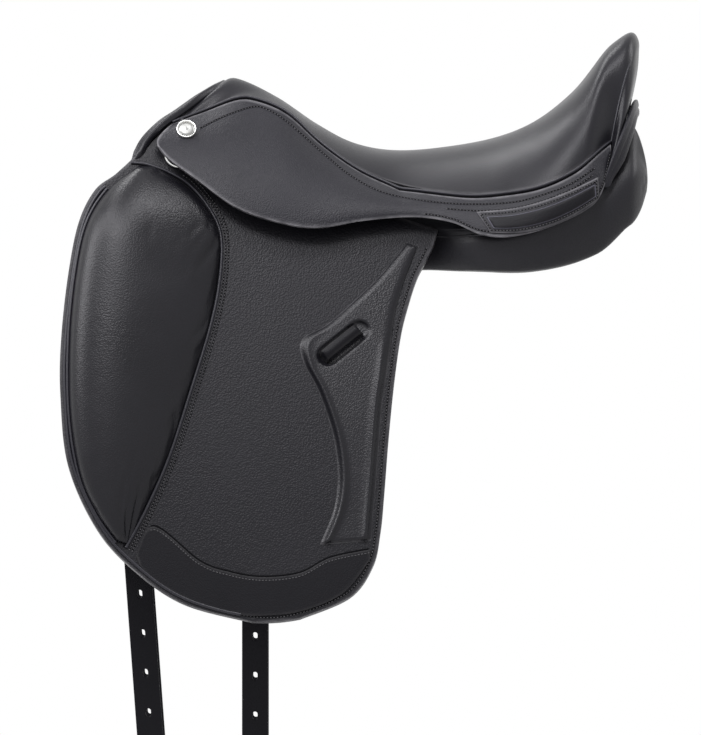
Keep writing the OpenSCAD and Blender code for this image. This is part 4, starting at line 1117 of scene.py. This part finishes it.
# %% Raised rest
moulding_height = 5
moulding_front = on_outline([[0.925, 0.188], [0.85, 0.262], [0.78, 0.316], [0.712, 0.364],
                             [0.645, 0.396], [0.646, 0.443], [0.686, 0.507], [0.724, 0.6],
                             [0.737, 0.689], [0.725, 0.763], [0.688, 0.838]])
moulding_rear = on_outline([[0.957, 0.196], [0.925, 0.262], [0.9, 0.325], [0.889, 0.379],
                            [0.882, 0.423], [0.874, 0.477], [0.863, 0.541], [0.855, 0.62],
                            [0.848, 0.699], [0.841, 0.763], [0.835, 0.829]])
rim_rise = [[0, 0], [1.2, 0.42], [2.5, 0.66], [4.5, 0.87], [7, 0.97], [9, 1]]
i, k = np.linspace(0, 1, 200)[:, None], crowded(71)[None, :]
seen = ruled(moulding_rear, moulding_front, i[:, 0], k[0])
width = np.linalg.norm(seen[:, -1] - seen[:, 0], axis=-1)[:, None]
near = [np.maximum(d, 1e-3) for d in (k * width, (1 - k) * width, i * 300, (1 - i) * 400)]
border = sum(d ** -3.0 for d in near) ** (-1 / 3)
sides = sum(d ** -3.0 for d in near[:3]) ** (-1 / 3)
foot = smooth((i - 0.6) / 0.35)
lower_half = smooth((i - 0.3) / 0.25)
ridge = np.exp(-((sides - 7.5) / 3.5) ** 2) * (0.28 * lower_half + 0.3 * foot)
shoulder = graph(rim_rise, np.minimum(border, rim_rise[-1][0]))
rim = mix(shoulder, smooth(border / 8.5), lower_half)
rest = rim * (mix(0.75, 0.85, lower_half) - 0.3 * foot + ridge)
from_loop = flap_at(seen) - keeper_place
along_loop, across_loop = from_loop @ long_way, from_loop @ cross_way
pocket_shift, pocket_half, pocket_radius, pocket_depth = 3, 20, 11.5, 0.8
past_end = np.maximum(np.abs(along_loop - pocket_shift) - pocket_half, 0)
pocket = smooth((pocket_radius - np.hypot(past_end, across_loop)) / 5.0)
moulding_grid = flap_at(seen, -0.3 + (moulding_height + 0.6) * rest * (1 - pocket_depth * pocket))
mouldings = pair("moulding", leather_sheet, moulding_grid, OUTWARD, 0.25, rest_leather, edge=0)
fit_pair(mouldings, "flap_{}", "black_leather", "moulding_{}")
print("rests made")

# %% Loop for the stirrup leather
tall = keeper_room + keeper_wall
arch = along([[0, 0.2], [1.6, 5.2], [5, tall - 0.8], [23, tall], [41, tall - 0.8], [44.4, 5.2],
              [46, 0.2]], np.linspace(0, 1, 61))
across = np.linspace(-keeper_width / 2, keeper_width / 2, 13)
crown = 1.6 * (1 - (across / across.max()) ** 2)
loop_sunk = 4.2
lengthwise, height = arch[:, None, :1] - keeper_length / 2, arch[:, None, 1:]
keeper_grid = (keeper_place + out * (moulding_height + 0.7 - loop_sunk)
               + lengthwise * long_way + across[None, :, None] * cross_way
               + (height + (crown - 1)[None, :, None] * (height > 3)) * out)
keepers = pair("keeper", leather_sheet, keeper_grid, out, keeper_wall, strap_leather, edge=0.9)
fit_pair(keepers, "flap_{}", "black_leather", "keeper_{}")
print("loops made")

# %% [markdown]
# ## Trim on the seat and skirts
# A row of stitches follows the seam on the skirt, the rear of the skirt carries a stitched
# frame with a plain padded plate in it, and a bright domed nail pins the front of each skirt.


# %% Places on the skirt
def on_skirt(seen, out=0.0):
    """Points of the skirt over places [x, z] seen from the side, found step by step."""
    seen = np.asarray(seen, float)
    flat = seen.reshape(-1, 2)
    starts = np.meshgrid(np.linspace(0, 1, 91), np.linspace(0, 1, 31), indexing="ij")
    r0, q0 = [a.ravel() for a in starts]
    first = skirt_at(r0, q0)[:, [0, 2]]
    best = ((flat[:, None] - first[None]) ** 2).sum(2).argmin(1)
    r, q, step = r0[best], q0[best], 1e-4
    for _ in range(6):
        here = skirt_at(r, q)[:, [0, 2]]
        dr = (skirt_at(r + step, q)[:, [0, 2]] - here) / step
        dq = (skirt_at(r, q + step)[:, [0, 2]] - here) / step
        miss = flat - here
        det = dr[:, 0] * dq[:, 1] - dr[:, 1] * dq[:, 0]
        r = np.clip(r + 0.8 * (miss[:, 0] * dq[:, 1] - miss[:, 1] * dq[:, 0]) / det, 0.001, 0.998)
        q = np.clip(q + 0.8 * (dr[:, 0] * miss[:, 1] - dr[:, 1] * miss[:, 0]) / det, 0.001, 0.998)
    return (skirt_at(r, q) + (0, out, 0)).reshape(*seen.shape[:-1], 3)


def seen_line(marks, n):
    return along(np.asarray(marks, float), np.linspace(0, 1, n))


print("places ready")

# %% Stitch rows of the skirt
trim_line = [[-192, 136], [-168, 148], [-141, 157], [-127, 154], [-109, 143], [-77, 115], [-48, 91],
             [-18, 75], [18, 67], [62, 63], [106, 64.5], [134, 71], [163, 82], [186, 97]]
rear_trim = [[45, 58.5], [76, 56.5], [106, 58.5], [134, 65], [163, 76.5], [184, 90]]
edge_r = np.linspace(0.52, 0.985, 170)
low_q = 1 - 4.5 / np.linalg.norm(skirt_at(edge_r, 1.0) - skirt_at(edge_r, 0.0), axis=1)
skirt_rows = [on_skirt(seen_line(trim_line, 260)), on_skirt(seen_line(rear_trim, 110)),
              skirt_at(edge_r, low_q)]
# Dark cords under the skirt's stitch rows are painted shade of their grooves.
skirt_groove_shades = pair("skirt_groove", groove, [p - (0, 0.3, 0) for p in skirt_rows], 1.9)
skirt_stitches = pair("skirt_stitches", stitches, [p + (0, 0.4, 0) for p in skirt_rows])
for pieces in (skirt_groove_shades, skirt_stitches):
    fit_pair(pieces, "saddle", "black_leather")
print("skirt rows made")

# %% Plain plate on the rear of the skirt
plate_top = [[73, 55.7], [106, 58.5], [134, 65], [163, 76], [190, 89]]
plate_low = [[87, 35.5], [115, 35.5], [144, 42], [168, 53], [191, 68]]


def plate_grid(u0, u1, w0, w1, out):
    seen = ruled(plate_top, plate_low, np.linspace(u0, u1, 70), np.linspace(w0, w1, 28))
    return on_skirt(seen) + np.array(OUTWARD) * np.asarray(out)[..., None]


def plate_ring(u0, u1, w0, w1):
    """Closed line on the plate, seen from the side."""
    corners = np.array([[u0, w0], [u1, w0], [u1, w1], [u0, w1], [u0, w0]])
    steps = np.linspace(0, 1, 50)[:, None]
    ring = np.vstack([mix(a, b, steps) for a, b in zip(corners, corners[1:])])
    return mix(along(plate_top, ring[:, 0]), along(plate_low, ring[:, 0]), ring[:, 1:])


plate_span = (0.07, 0.95, 0.28, 0.78)
u, w = np.linspace(0, 1, 70)[:, None], np.linspace(0, 1, 28)[None, :]
edge_near = np.minimum(np.minimum(u, 1 - u) * 120, np.minimum(w, 1 - w) * 22)
frame_grid = plate_grid(0, 1, 0, 1, 1.0 + 1.4 * smooth(edge_near / 2.5))
patch_frames = pair("patch_frame", leather_sheet, frame_grid, OUTWARD, 0.9, skirt_leather,
                    edge=0.3)
swelled_grid = plate_grid(*plate_span, 2.2 + 2.0 * bulge(u, 8) * bulge(w, 4))
patch_plates = pair("patch_plate", leather_sheet, swelled_grid, OUTWARD, 0.6, smooth_leather,
                    edge=0.3)
loop = plate_ring(0.03, 0.97, 0.14, 0.88)
# A dark cord under the plate's stitches is painted shade of its groove.
patch_groove_shades = pair("patch_groove", groove, [on_skirt(loop, 2.0)], 1.6)
patch_rims = pair("patch_rim", welt, [on_skirt(plate_ring(*plate_span), 2.7)], 1.3, rim_leather, 6)
patch_stitches = pair("patch_stitches", stitches, [on_skirt(loop, 2.7)])
fit_pair(patch_frames, "saddle", "seat_leather", "skirt_patch_{}")
for pieces in (patch_plates, patch_groove_shades, patch_rims, patch_stitches):
    fit_pair(pieces, "saddle", "seat_leather")
print("plates made")


# %% Domed nails
def lathe(name, profile, centre, axis, finish, turns=48):
    """Solid of revolution of a profile [radius, height] about an axis."""
    axis = unit(np.asarray(axis, float))
    side_way = unit(np.cross(axis, (0, 0, 1.0)))
    up_way = np.cross(side_way, axis)
    p = np.asarray(profile, float)
    a = np.linspace(0, 2 * np.pi, turns, endpoint=False)
    ring = np.cos(a)[:, None] * side_way + np.sin(a)[:, None] * up_way
    points = centre + p[:, None, :1] * ring[None] + p[:, None, 1:] * axis
    return shade(new_object(name, *fanned(points), finish))


stud_r, stud_q, stud_radius = 0.083, 0.38, 9.5
stud_place = skirt_at(stud_r, stud_q)
stud_out = unit(np.cross(skirt_at(stud_r + 0.01, stud_q) - skirt_at(stud_r - 0.01, stud_q),
                         skirt_at(stud_r, stud_q + 0.05) - skirt_at(stud_r, stud_q - 0.05)))
stud_face = unit(stud_out + (0, 0.5, -0.2))
stud_lift = stud_radius * math.sqrt(1 - float(stud_face @ stud_out) ** 2) + 0.3
stud_place = stud_place + stud_out * stud_lift
scale = np.array([stud_radius, 1])
rim_profile = scale * [[0.9, -7.5], [1, -7], [1, 0.9], [0.98, 1.5], [0.93, 1.8], [0.88, 1.5],
                       [0.86, 0.2], [0.5, 0.1]]
dome_profile = scale * [[0.6, -1], [0.8, 0.2], [0.76, 1.0], [0.5, 1.5], [0.25, 1.9],
                        [0.01 / stud_radius, 2.0]]
nails = pair("head_nail", lathe, rim_profile, stud_place, stud_face, bright_nickel)
domes = pair("head_nail_dome", lathe, dome_profile, stud_place, stud_face, satin_nickel)
fit_pair(nails, "saddle", "nickel", "head_nails")
fit_pair(domes, "saddle", "nickel")
print("nail at", np.round(stud_place, 1))

# %% [markdown]
# ## Bindings
# The front arch and the back of the cantle are closed by padded strips with a groove along
# them. Each is a section swept along a path. The section has two soft ridges, so the groove
# is in the shape and not only in the finish. A thin lining hides the steel under the arch.


# %% Strips
def strip(name, path, section, out, finish, size=1.0):
    """Closed sweep of a section [outward, sideways] along a path, drawn in at its ends."""
    path = np.asarray(path, float)
    ahead = unit(np.gradient(path, axis=0))
    side_way = unit(np.cross(ahead, np.broadcast_to(np.asarray(out, float), path.shape)))
    out_way = np.cross(side_way, ahead)
    s = np.asarray(section, float)
    n = len(path)
    end = np.sqrt(np.clip(np.minimum(np.arange(n), n - 1 - np.arange(n)) / 3.0, 0.05, 1))
    end = (end * size)[:, None, None]
    across = s[None, :, :1] * out_way[:, None] + s[None, :, 1:] * side_way[:, None]
    return loft(name, path[:, None] + across * end, finish)


def grooved(thick, wide, depth=0.35, n=64):
    """Oval section with a groove along the middle of both faces."""
    a = np.linspace(0, 2 * np.pi, n, endpoint=False)
    x = np.sign(np.cos(a)) * np.abs(np.cos(a)) ** 0.6 * thick / 2
    y = np.sign(np.sin(a)) * np.abs(np.sin(a)) ** 0.6 * wide / 2
    return np.stack([x * (1 - depth * np.exp(-(y / (wide * 0.08)) ** 2)), y], -1)


print("strips ready")

# %% Strip round the arch
arch_marks = [[-171, 0, 178], [-180.8, 26, 173.3], [-192.8, 42, 166.2], [-203.3, 53, 158.5],
              [-214, 62, 150.7], [-225.4, 72, 143.1], [-233.8, 79, 135.7], [-241, 84, 128.3],
              [-246.3, 88, 121.1], [-250, 91, 113.8], [-254, 92.5, 107], [-258, 92, 102]]
half_arch = along(arch_marks, np.linspace(0, 1, 70))
arch_path = np.vstack([half_arch[:0:-1] * (1, -1, 1), half_arch])
arch_share = np.linspace(-1, 1, len(arch_path))
arch_out = np.stack([0 * arch_share - 0.7, 0.6 * arch_path[:, 1] / 91, 0 * arch_share + 0.7], -1)
arch_size = np.clip((1 - np.abs(arch_share)) / 0.16, 0.3, 1) ** 0.6
pommel_binding = strip("pommel_binding", arch_path, grooved(7.5, 11), arch_out, seat_leather,
                       arch_size)
fit(pommel_binding, "saddle", "seat_leather", "pommel_binding")
print("front strip made")

# %% Lining of the arch
lining_width = 12 + 20 * (1 - arch_share ** 2)
inward = unit(np.cross(np.gradient(arch_path, axis=0), (1.0, 0, 0)))
inward *= -np.sign(inward[len(inward) // 2, 2])
w = np.linspace(0, 1, 13)[None, :, None] * lining_width[:, None, None]
lining_grid = arch_path[:, None] + w * inward[:, None] + (2.5 + 0.08 * w) * np.array([1.0, 0, 0])
arch_lining = leather_sheet("arch_lining", lining_grid, (-1, 0, 0), 1.5, panel_leather, edge=0.4)
fit(arch_lining, "saddle", "black_leather")
print("lining made")

# %% Strip under the cantle
binding_width, binding_wall = 16, 5
v = np.linspace(-0.97, 0.97, 170)
crown = 4 * (1 - v ** 2) ** 2
cantle_path = facing_at(v, 1.0) + np.stack([2 + crown, 1.5 * v, -0.5 - 2 * np.abs(v) ** 3], -1)
cantle_out = np.stack([1 - 0.55 * np.abs(v) ** 2, 0.9 * v, 0.1 + 0 * v], -1)
thinned = np.clip((1 - np.abs(v)) / 0.3, 0.45, 1) ** 0.7
cantle_binding = strip("cantle_binding", cantle_path, grooved(binding_wall, binding_width),
                       cantle_out, skirt_leather, thinned)
fit(cantle_binding, "saddle", "black_leather", "cantle_binding")
print("cantle strip made")

# %% Seam on the back of the cantle
v = np.linspace(-1, 1, 200)
back_seam = facing_at(v, 0.02 + 0.13 * (1 - np.abs(v) ** 4))
proud = np.stack([0.1 - 0.7 * (1 - v ** 2), 0.4 * v, 0 * v], -1)
back_welt = welt("cantle_welt", [back_seam + proud], 2.2)
fit(back_welt, "saddle", "black_leather")
print("cantle welt made")

# %% [markdown]
# ## Panels
# Two flocked cushions carry the saddle. Each is a closed loft whose section is a smooth line
# through six corners that move along the back. It starts a little thin and is then stuffed by
# the cloth solver, with the top held where it lies under the tree.

# %% Measures of the panel
panel_half, channel = 142, 34
panel_from, panel_to, panel_round = -226, 238, 16
wall_swell, roof_room, top_room = 6, 2.6, 12
panel_side = [[-226, flap_half + 8], [-150, flap_half + 14], [-60, flap_half + 8],
              [16, flap_half + 3], [40, flap_half + 10], [76, panel_half - 10],
              [130, panel_half - 1], [190, panel_half - 23], [222, panel_half - 40],
              [238, panel_half - 56]]
panel_side_z = [[-226, -8], [-150, -28], [-60, 8], [12, 22], [62, 26], [130, 34], [190, 58],
                [222, 84], [238, 92]]
panel_low = [[-226, -32], [-150, -54], [-60, -18], [12, -2], [62, -2], [130, -1], [190, 16],
             [222, 44], [238, 57]]
panel_inner = [[-226, 60], [-150, 58], [-60, 38], [12, 28], [62, 26], [130, 30], [190, 44],
               [222, 64], [238, 72]]
panel_top = [[-226, 100], [-150, 100], [-60, 70], [12, 60], [62, 62], [130, 82], [190, 124],
             [222, 138], [238, 126]]
panel_inner_w = [[-226, 18], [-150, 6], [-60, 1], [12, 0], [62, 0], [130, 0], [190, 2], [222, 6],
                 [238, 12]]
panel_roof_w = [[-226, 64], [-150, 62], [-60, 84], [12, 92], [40, 97], [76, panel_half - 28],
                [130, panel_half - 18], [190, panel_half - 46], [222, panel_half - 67],
                [238, panel_half - 73]]
panel_roof_z = [[-226, 72], [-150, 72], [-60, 52], [12, 50], [62, 54], [130, 64], [190, 94],
                [222, 118], [238, 112]]
foam_span = [[seat_front, 1], [-0.6, 0.75], [-0.2, 0.1], [0, 0], [1, 0.25]]
seat_foam, pommel_foam = 28, 12
clearance, layers = 0.3, {"cover": 2, "web": 2, "rail": 8, "spring": 1.6}
spring_depth = sum(layers.values()) + clearance * len(layers)
print("panel from", panel_from, "to", panel_to, "mm")


# %% Panel surface
def under_tree(x, w):
    """Height just under the springs of the tree."""
    u = x / pommel_reach if x < 0 else x / cantle_reach
    v = min(0.93, w / float(edge_at(edge_u(np.float64(u)))[1]))
    foam = mix(seat_foam, pommel_foam, float(graph(foam_span, u))) * (1 - 0.75 * v ** 2)
    return float(seat_at(u, v)[2]) - foam - spring_depth


def panel_corners(x):
    """Six corners [y, z] of the section, from the roof round the outer side to the inner top."""
    side, side_z, low, inner, top, inner_w, roof, roof_z = [float(graph(line, x)) for line in (
        panel_side, panel_side_z, panel_low, panel_inner, panel_top, panel_inner_w, panel_roof_w,
        panel_roof_z)]
    w = channel + wall_swell + inner_w
    on_rails = max(0, min(1, (x + 90) / 40, (180 - x) / 40))
    return np.array([[roof, mix(roof_z, under_tree(x, roof) - roof_room, on_rails)],
                     [side, side_z], [side - 0.1 * (side - w), low],
                     [mix(w, side, 0.45), mix(inner, low, 0.5) - 4], [w, inner],
                     [w + 3, mix(top, under_tree(x, w + 3) - top_room, on_rails)]])


def panel_ring(x, inset, n):
    c = panel_corners(x)
    k = min(1, min(x - panel_from, panel_to - x) / panel_round)
    scale = max(0.06, math.sqrt(max(0, 1 - (1 - k) ** 2)))
    middle = c.mean(0)
    d = (around(c, np.arange(n) / n) - middle) * scale
    q = middle + d * np.maximum(0.5, 1 - inset / np.linalg.norm(d, axis=1, keepdims=True))
    return np.column_stack([np.full(n, x), q])


print("section in the middle:", panel_corners(0.0).round().tolist())


# %% Panels
def panel(name):
    rows, cols, slack = 97, 66, 0.6
    rings = np.stack([panel_ring(x, slack, cols)
                      for x in mix(panel_from, panel_to, crowded(rows))])
    piece = new_object(name, *fanned(rings), panel_leather)
    n = rows * cols
    k = np.arange(cols) / cols
    up = (k > 0.78) | (k < 0.09)
    held = np.flatnonzero(np.tile(up, rows))
    held = np.concatenate([held, np.arange(3 * cols), n - 1 - np.arange(3 * cols), [n, n + 1]])
    inflate(piece, np.unique(held), 3.0, 1.5)
    for fan in piece.data.polygons[-2 * cols:]:
        fan.flip()
    return shade(piece)


panels = pair("panel", panel)
fit_pair(panels, "saddle", "seat_leather", "panel_cover_{}", "panel_flock_{}", fill=0.85)
print("panels made")


# %% Tape seam on the panel
def on_panel(marks, n, out):
    """Line on the outer side of a panel over places [x, z] seen from the side."""
    line = []
    for x, z in along(np.asarray(marks, float), np.linspace(0, 1, n)):
        ring = panel_ring(x, 0, 400)
        ring = ring[np.abs(ring[:, 2] - z) < 1.5]
        line.append([x, ring[:, 1].max() + out, z])
    return np.array(line)


tape_lines = [[[24, 41], [50, 39], [82, 40]], [[24, 33.5], [50, 32], [82, 34]]]
tape_welts = pair("panel_tape", welt, [on_panel(m, 40, -0.4) for m in tape_lines], 2.6,
                  panel_leather)
fit_pair(tape_welts, "saddle", "black_leather")
print("tape seams made")

# %% [markdown]
# ## Girth straps and slings
# The straps are flat leather, so they are drawn as an outline with its holes: a filled curve,
# thickened and rounded at the edge. The webbing that carries them hangs down inside the flap.

# %% Measures of the straps
billet_width, billet_wall = 25, 4
hole_pitch, hole_width, hole_length, hole_count = 38, 4.8, 8, 9
sling_width, sling_wall = 30, 2.5
wing_wall = 6
sling_depth = (flap_wall + wing_wall + 3 * clearance) * 1.07
strap_drop = 0.4
front_strap, rear_strap = (-268, -58), (-139, -45)
print(hole_count, "holes a strap")


# %% Straps
def oval(x, y, width, length, n=10):
    a = np.linspace(0, np.pi, n)
    r, half = width / 2, (length - width) / 2
    top = np.column_stack([r * np.cos(a), half + r * np.sin(a)])
    return np.vstack([top, -top]) + (x, y)


def billet(name, at, first_hole, lean):
    """Strap with a rounded tip, hanging down from its sewn end."""
    soft_edge = 0.7
    long = first_hole + (hole_count - 1) * hole_pitch + 45
    tip = billet_width / 2
    a = np.linspace(np.pi, 2 * np.pi, 25)
    rounded_tip = np.column_stack([tip * np.cos(a), -long + tip + tip * np.sin(a)])
    outlines = [np.vstack([[[tip, 0], [-tip, 0]], rounded_tip])]
    outlines += [oval(0, -first_hole - i * hole_pitch, hole_width, hole_length)
                 for i in range(hole_count)]
    curve = bpy.data.curves.new(name, "CURVE")
    curve.dimensions, curve.fill_mode = "2D", "BOTH"
    curve.extrude, curve.bevel_depth = (billet_wall / 2 - soft_edge) * MM, soft_edge * MM
    curve.bevel_resolution, curve.offset = 2, -soft_edge * MM
    for points in outlines:
        line = curve.splines.new("POLY")
        line.points.add(len(points) - 1)
        none, one = np.zeros(len(points)), np.ones(len(points))
        line.points.foreach_set("co", np.column_stack([points * MM, none, one]).ravel())
        line.use_cyclic_u = True
    drawn = bpy.data.objects.new(name + "_outline", curve)
    scene.collection.objects.link(drawn)
    depsgraph = bpy.context.evaluated_depsgraph_get()
    mesh = bpy.data.meshes.new_from_object(drawn.evaluated_get(depsgraph))
    bpy.data.objects.remove(drawn)
    flat = np.array([v.co for v in mesh.vertices]) / MM
    c, s = math.cos(math.radians(lean)), math.sin(math.radians(lean))
    upright = np.column_stack([flat[:, 0], -flat[:, 2], flat[:, 1]])
    y = flap_at(np.array(at, float))[1] - sling_depth - sling_wall / 2
    z = at[1] - strap_drop - s * billet_width / 2
    turned = np.column_stack([upright[:, 0] * c - upright[:, 2] * s, upright[:, 1],
                              upright[:, 0] * s + upright[:, 2] * c]) + (at[0], y, z)
    faces = [list(f.vertices) for f in mesh.polygons]
    bpy.data.meshes.remove(mesh)
    return new_object(name, turned, faces, strap_leather)


straps = {"front": pair("billet_front", billet, front_strap, 214, 4.2),
          "rear": pair("billet_rear", billet, rear_strap, 230, 0.0)}
for place, both in straps.items():
    fit_pair(both, f"billet_{place}_{{}}", "black_leather", f"billet_{place}_{{}}")
print("4 straps")


# %% Slings
def sling(name, top, foot):
    line = mix(np.asarray(top, float), np.asarray(foot, float), np.linspace(0, 1, 30)[:, None])
    across = np.linspace(-sling_width / 2, sling_width / 2, 13)
    seen = line[:, None] + np.stack([across, np.zeros(13)], -1)[None]
    return leather_sheet(name, flap_at(seen, -sling_depth), OUTWARD, sling_wall - 0.2,
                         black_webbing, edge=0.5)


slings = {"front": pair("sling_front", sling, flap_st(26.0, -10.0)[[0, 2]], front_strap),
          "rear": pair("sling_rear", sling, flap_st(118.0, -12.0)[[0, 2]], rear_strap)}
for place, both in slings.items():
    fit_pair(both, "saddle", "webbing", f"sling_{place}_{{}}")
print("4 slings")

# %% [markdown]
# ## Metal and the tree
# The bars, catches, pins, rivets, dees, springs and the tree are exact in the CAD model, so
# they stay and only get their finish.

# %% Finishes of the CAD parts
kept = {
    forged_steel: ["gullet_plate", "tree_springs", "head_rivets", "stirrup_bar_left",
                   "stirrup_bar_right", "bar_rivets", "bar_catch_left", "bar_catch_right",
                   "catch_pins"],
    bright_nickel: ["dee_left", "dee_right"],
    tree_plastic: ["tree", "tree_wing_left", "tree_wing_right"],
    black_webbing: ["seat_webs"],
    strap_leather: ["dee_chape_left", "dee_chape_right"],
}
for finish, names in kept.items():
    for name in names:
        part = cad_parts[name]
        part.data.materials.clear()
        part.data.materials.append(finish)
print(sum(len(n) for n in kept.values()), "CAD parts finished")

# %% Sizes and the end
print("CAD box", np.round(np.array(cad_box), 3).tolist())
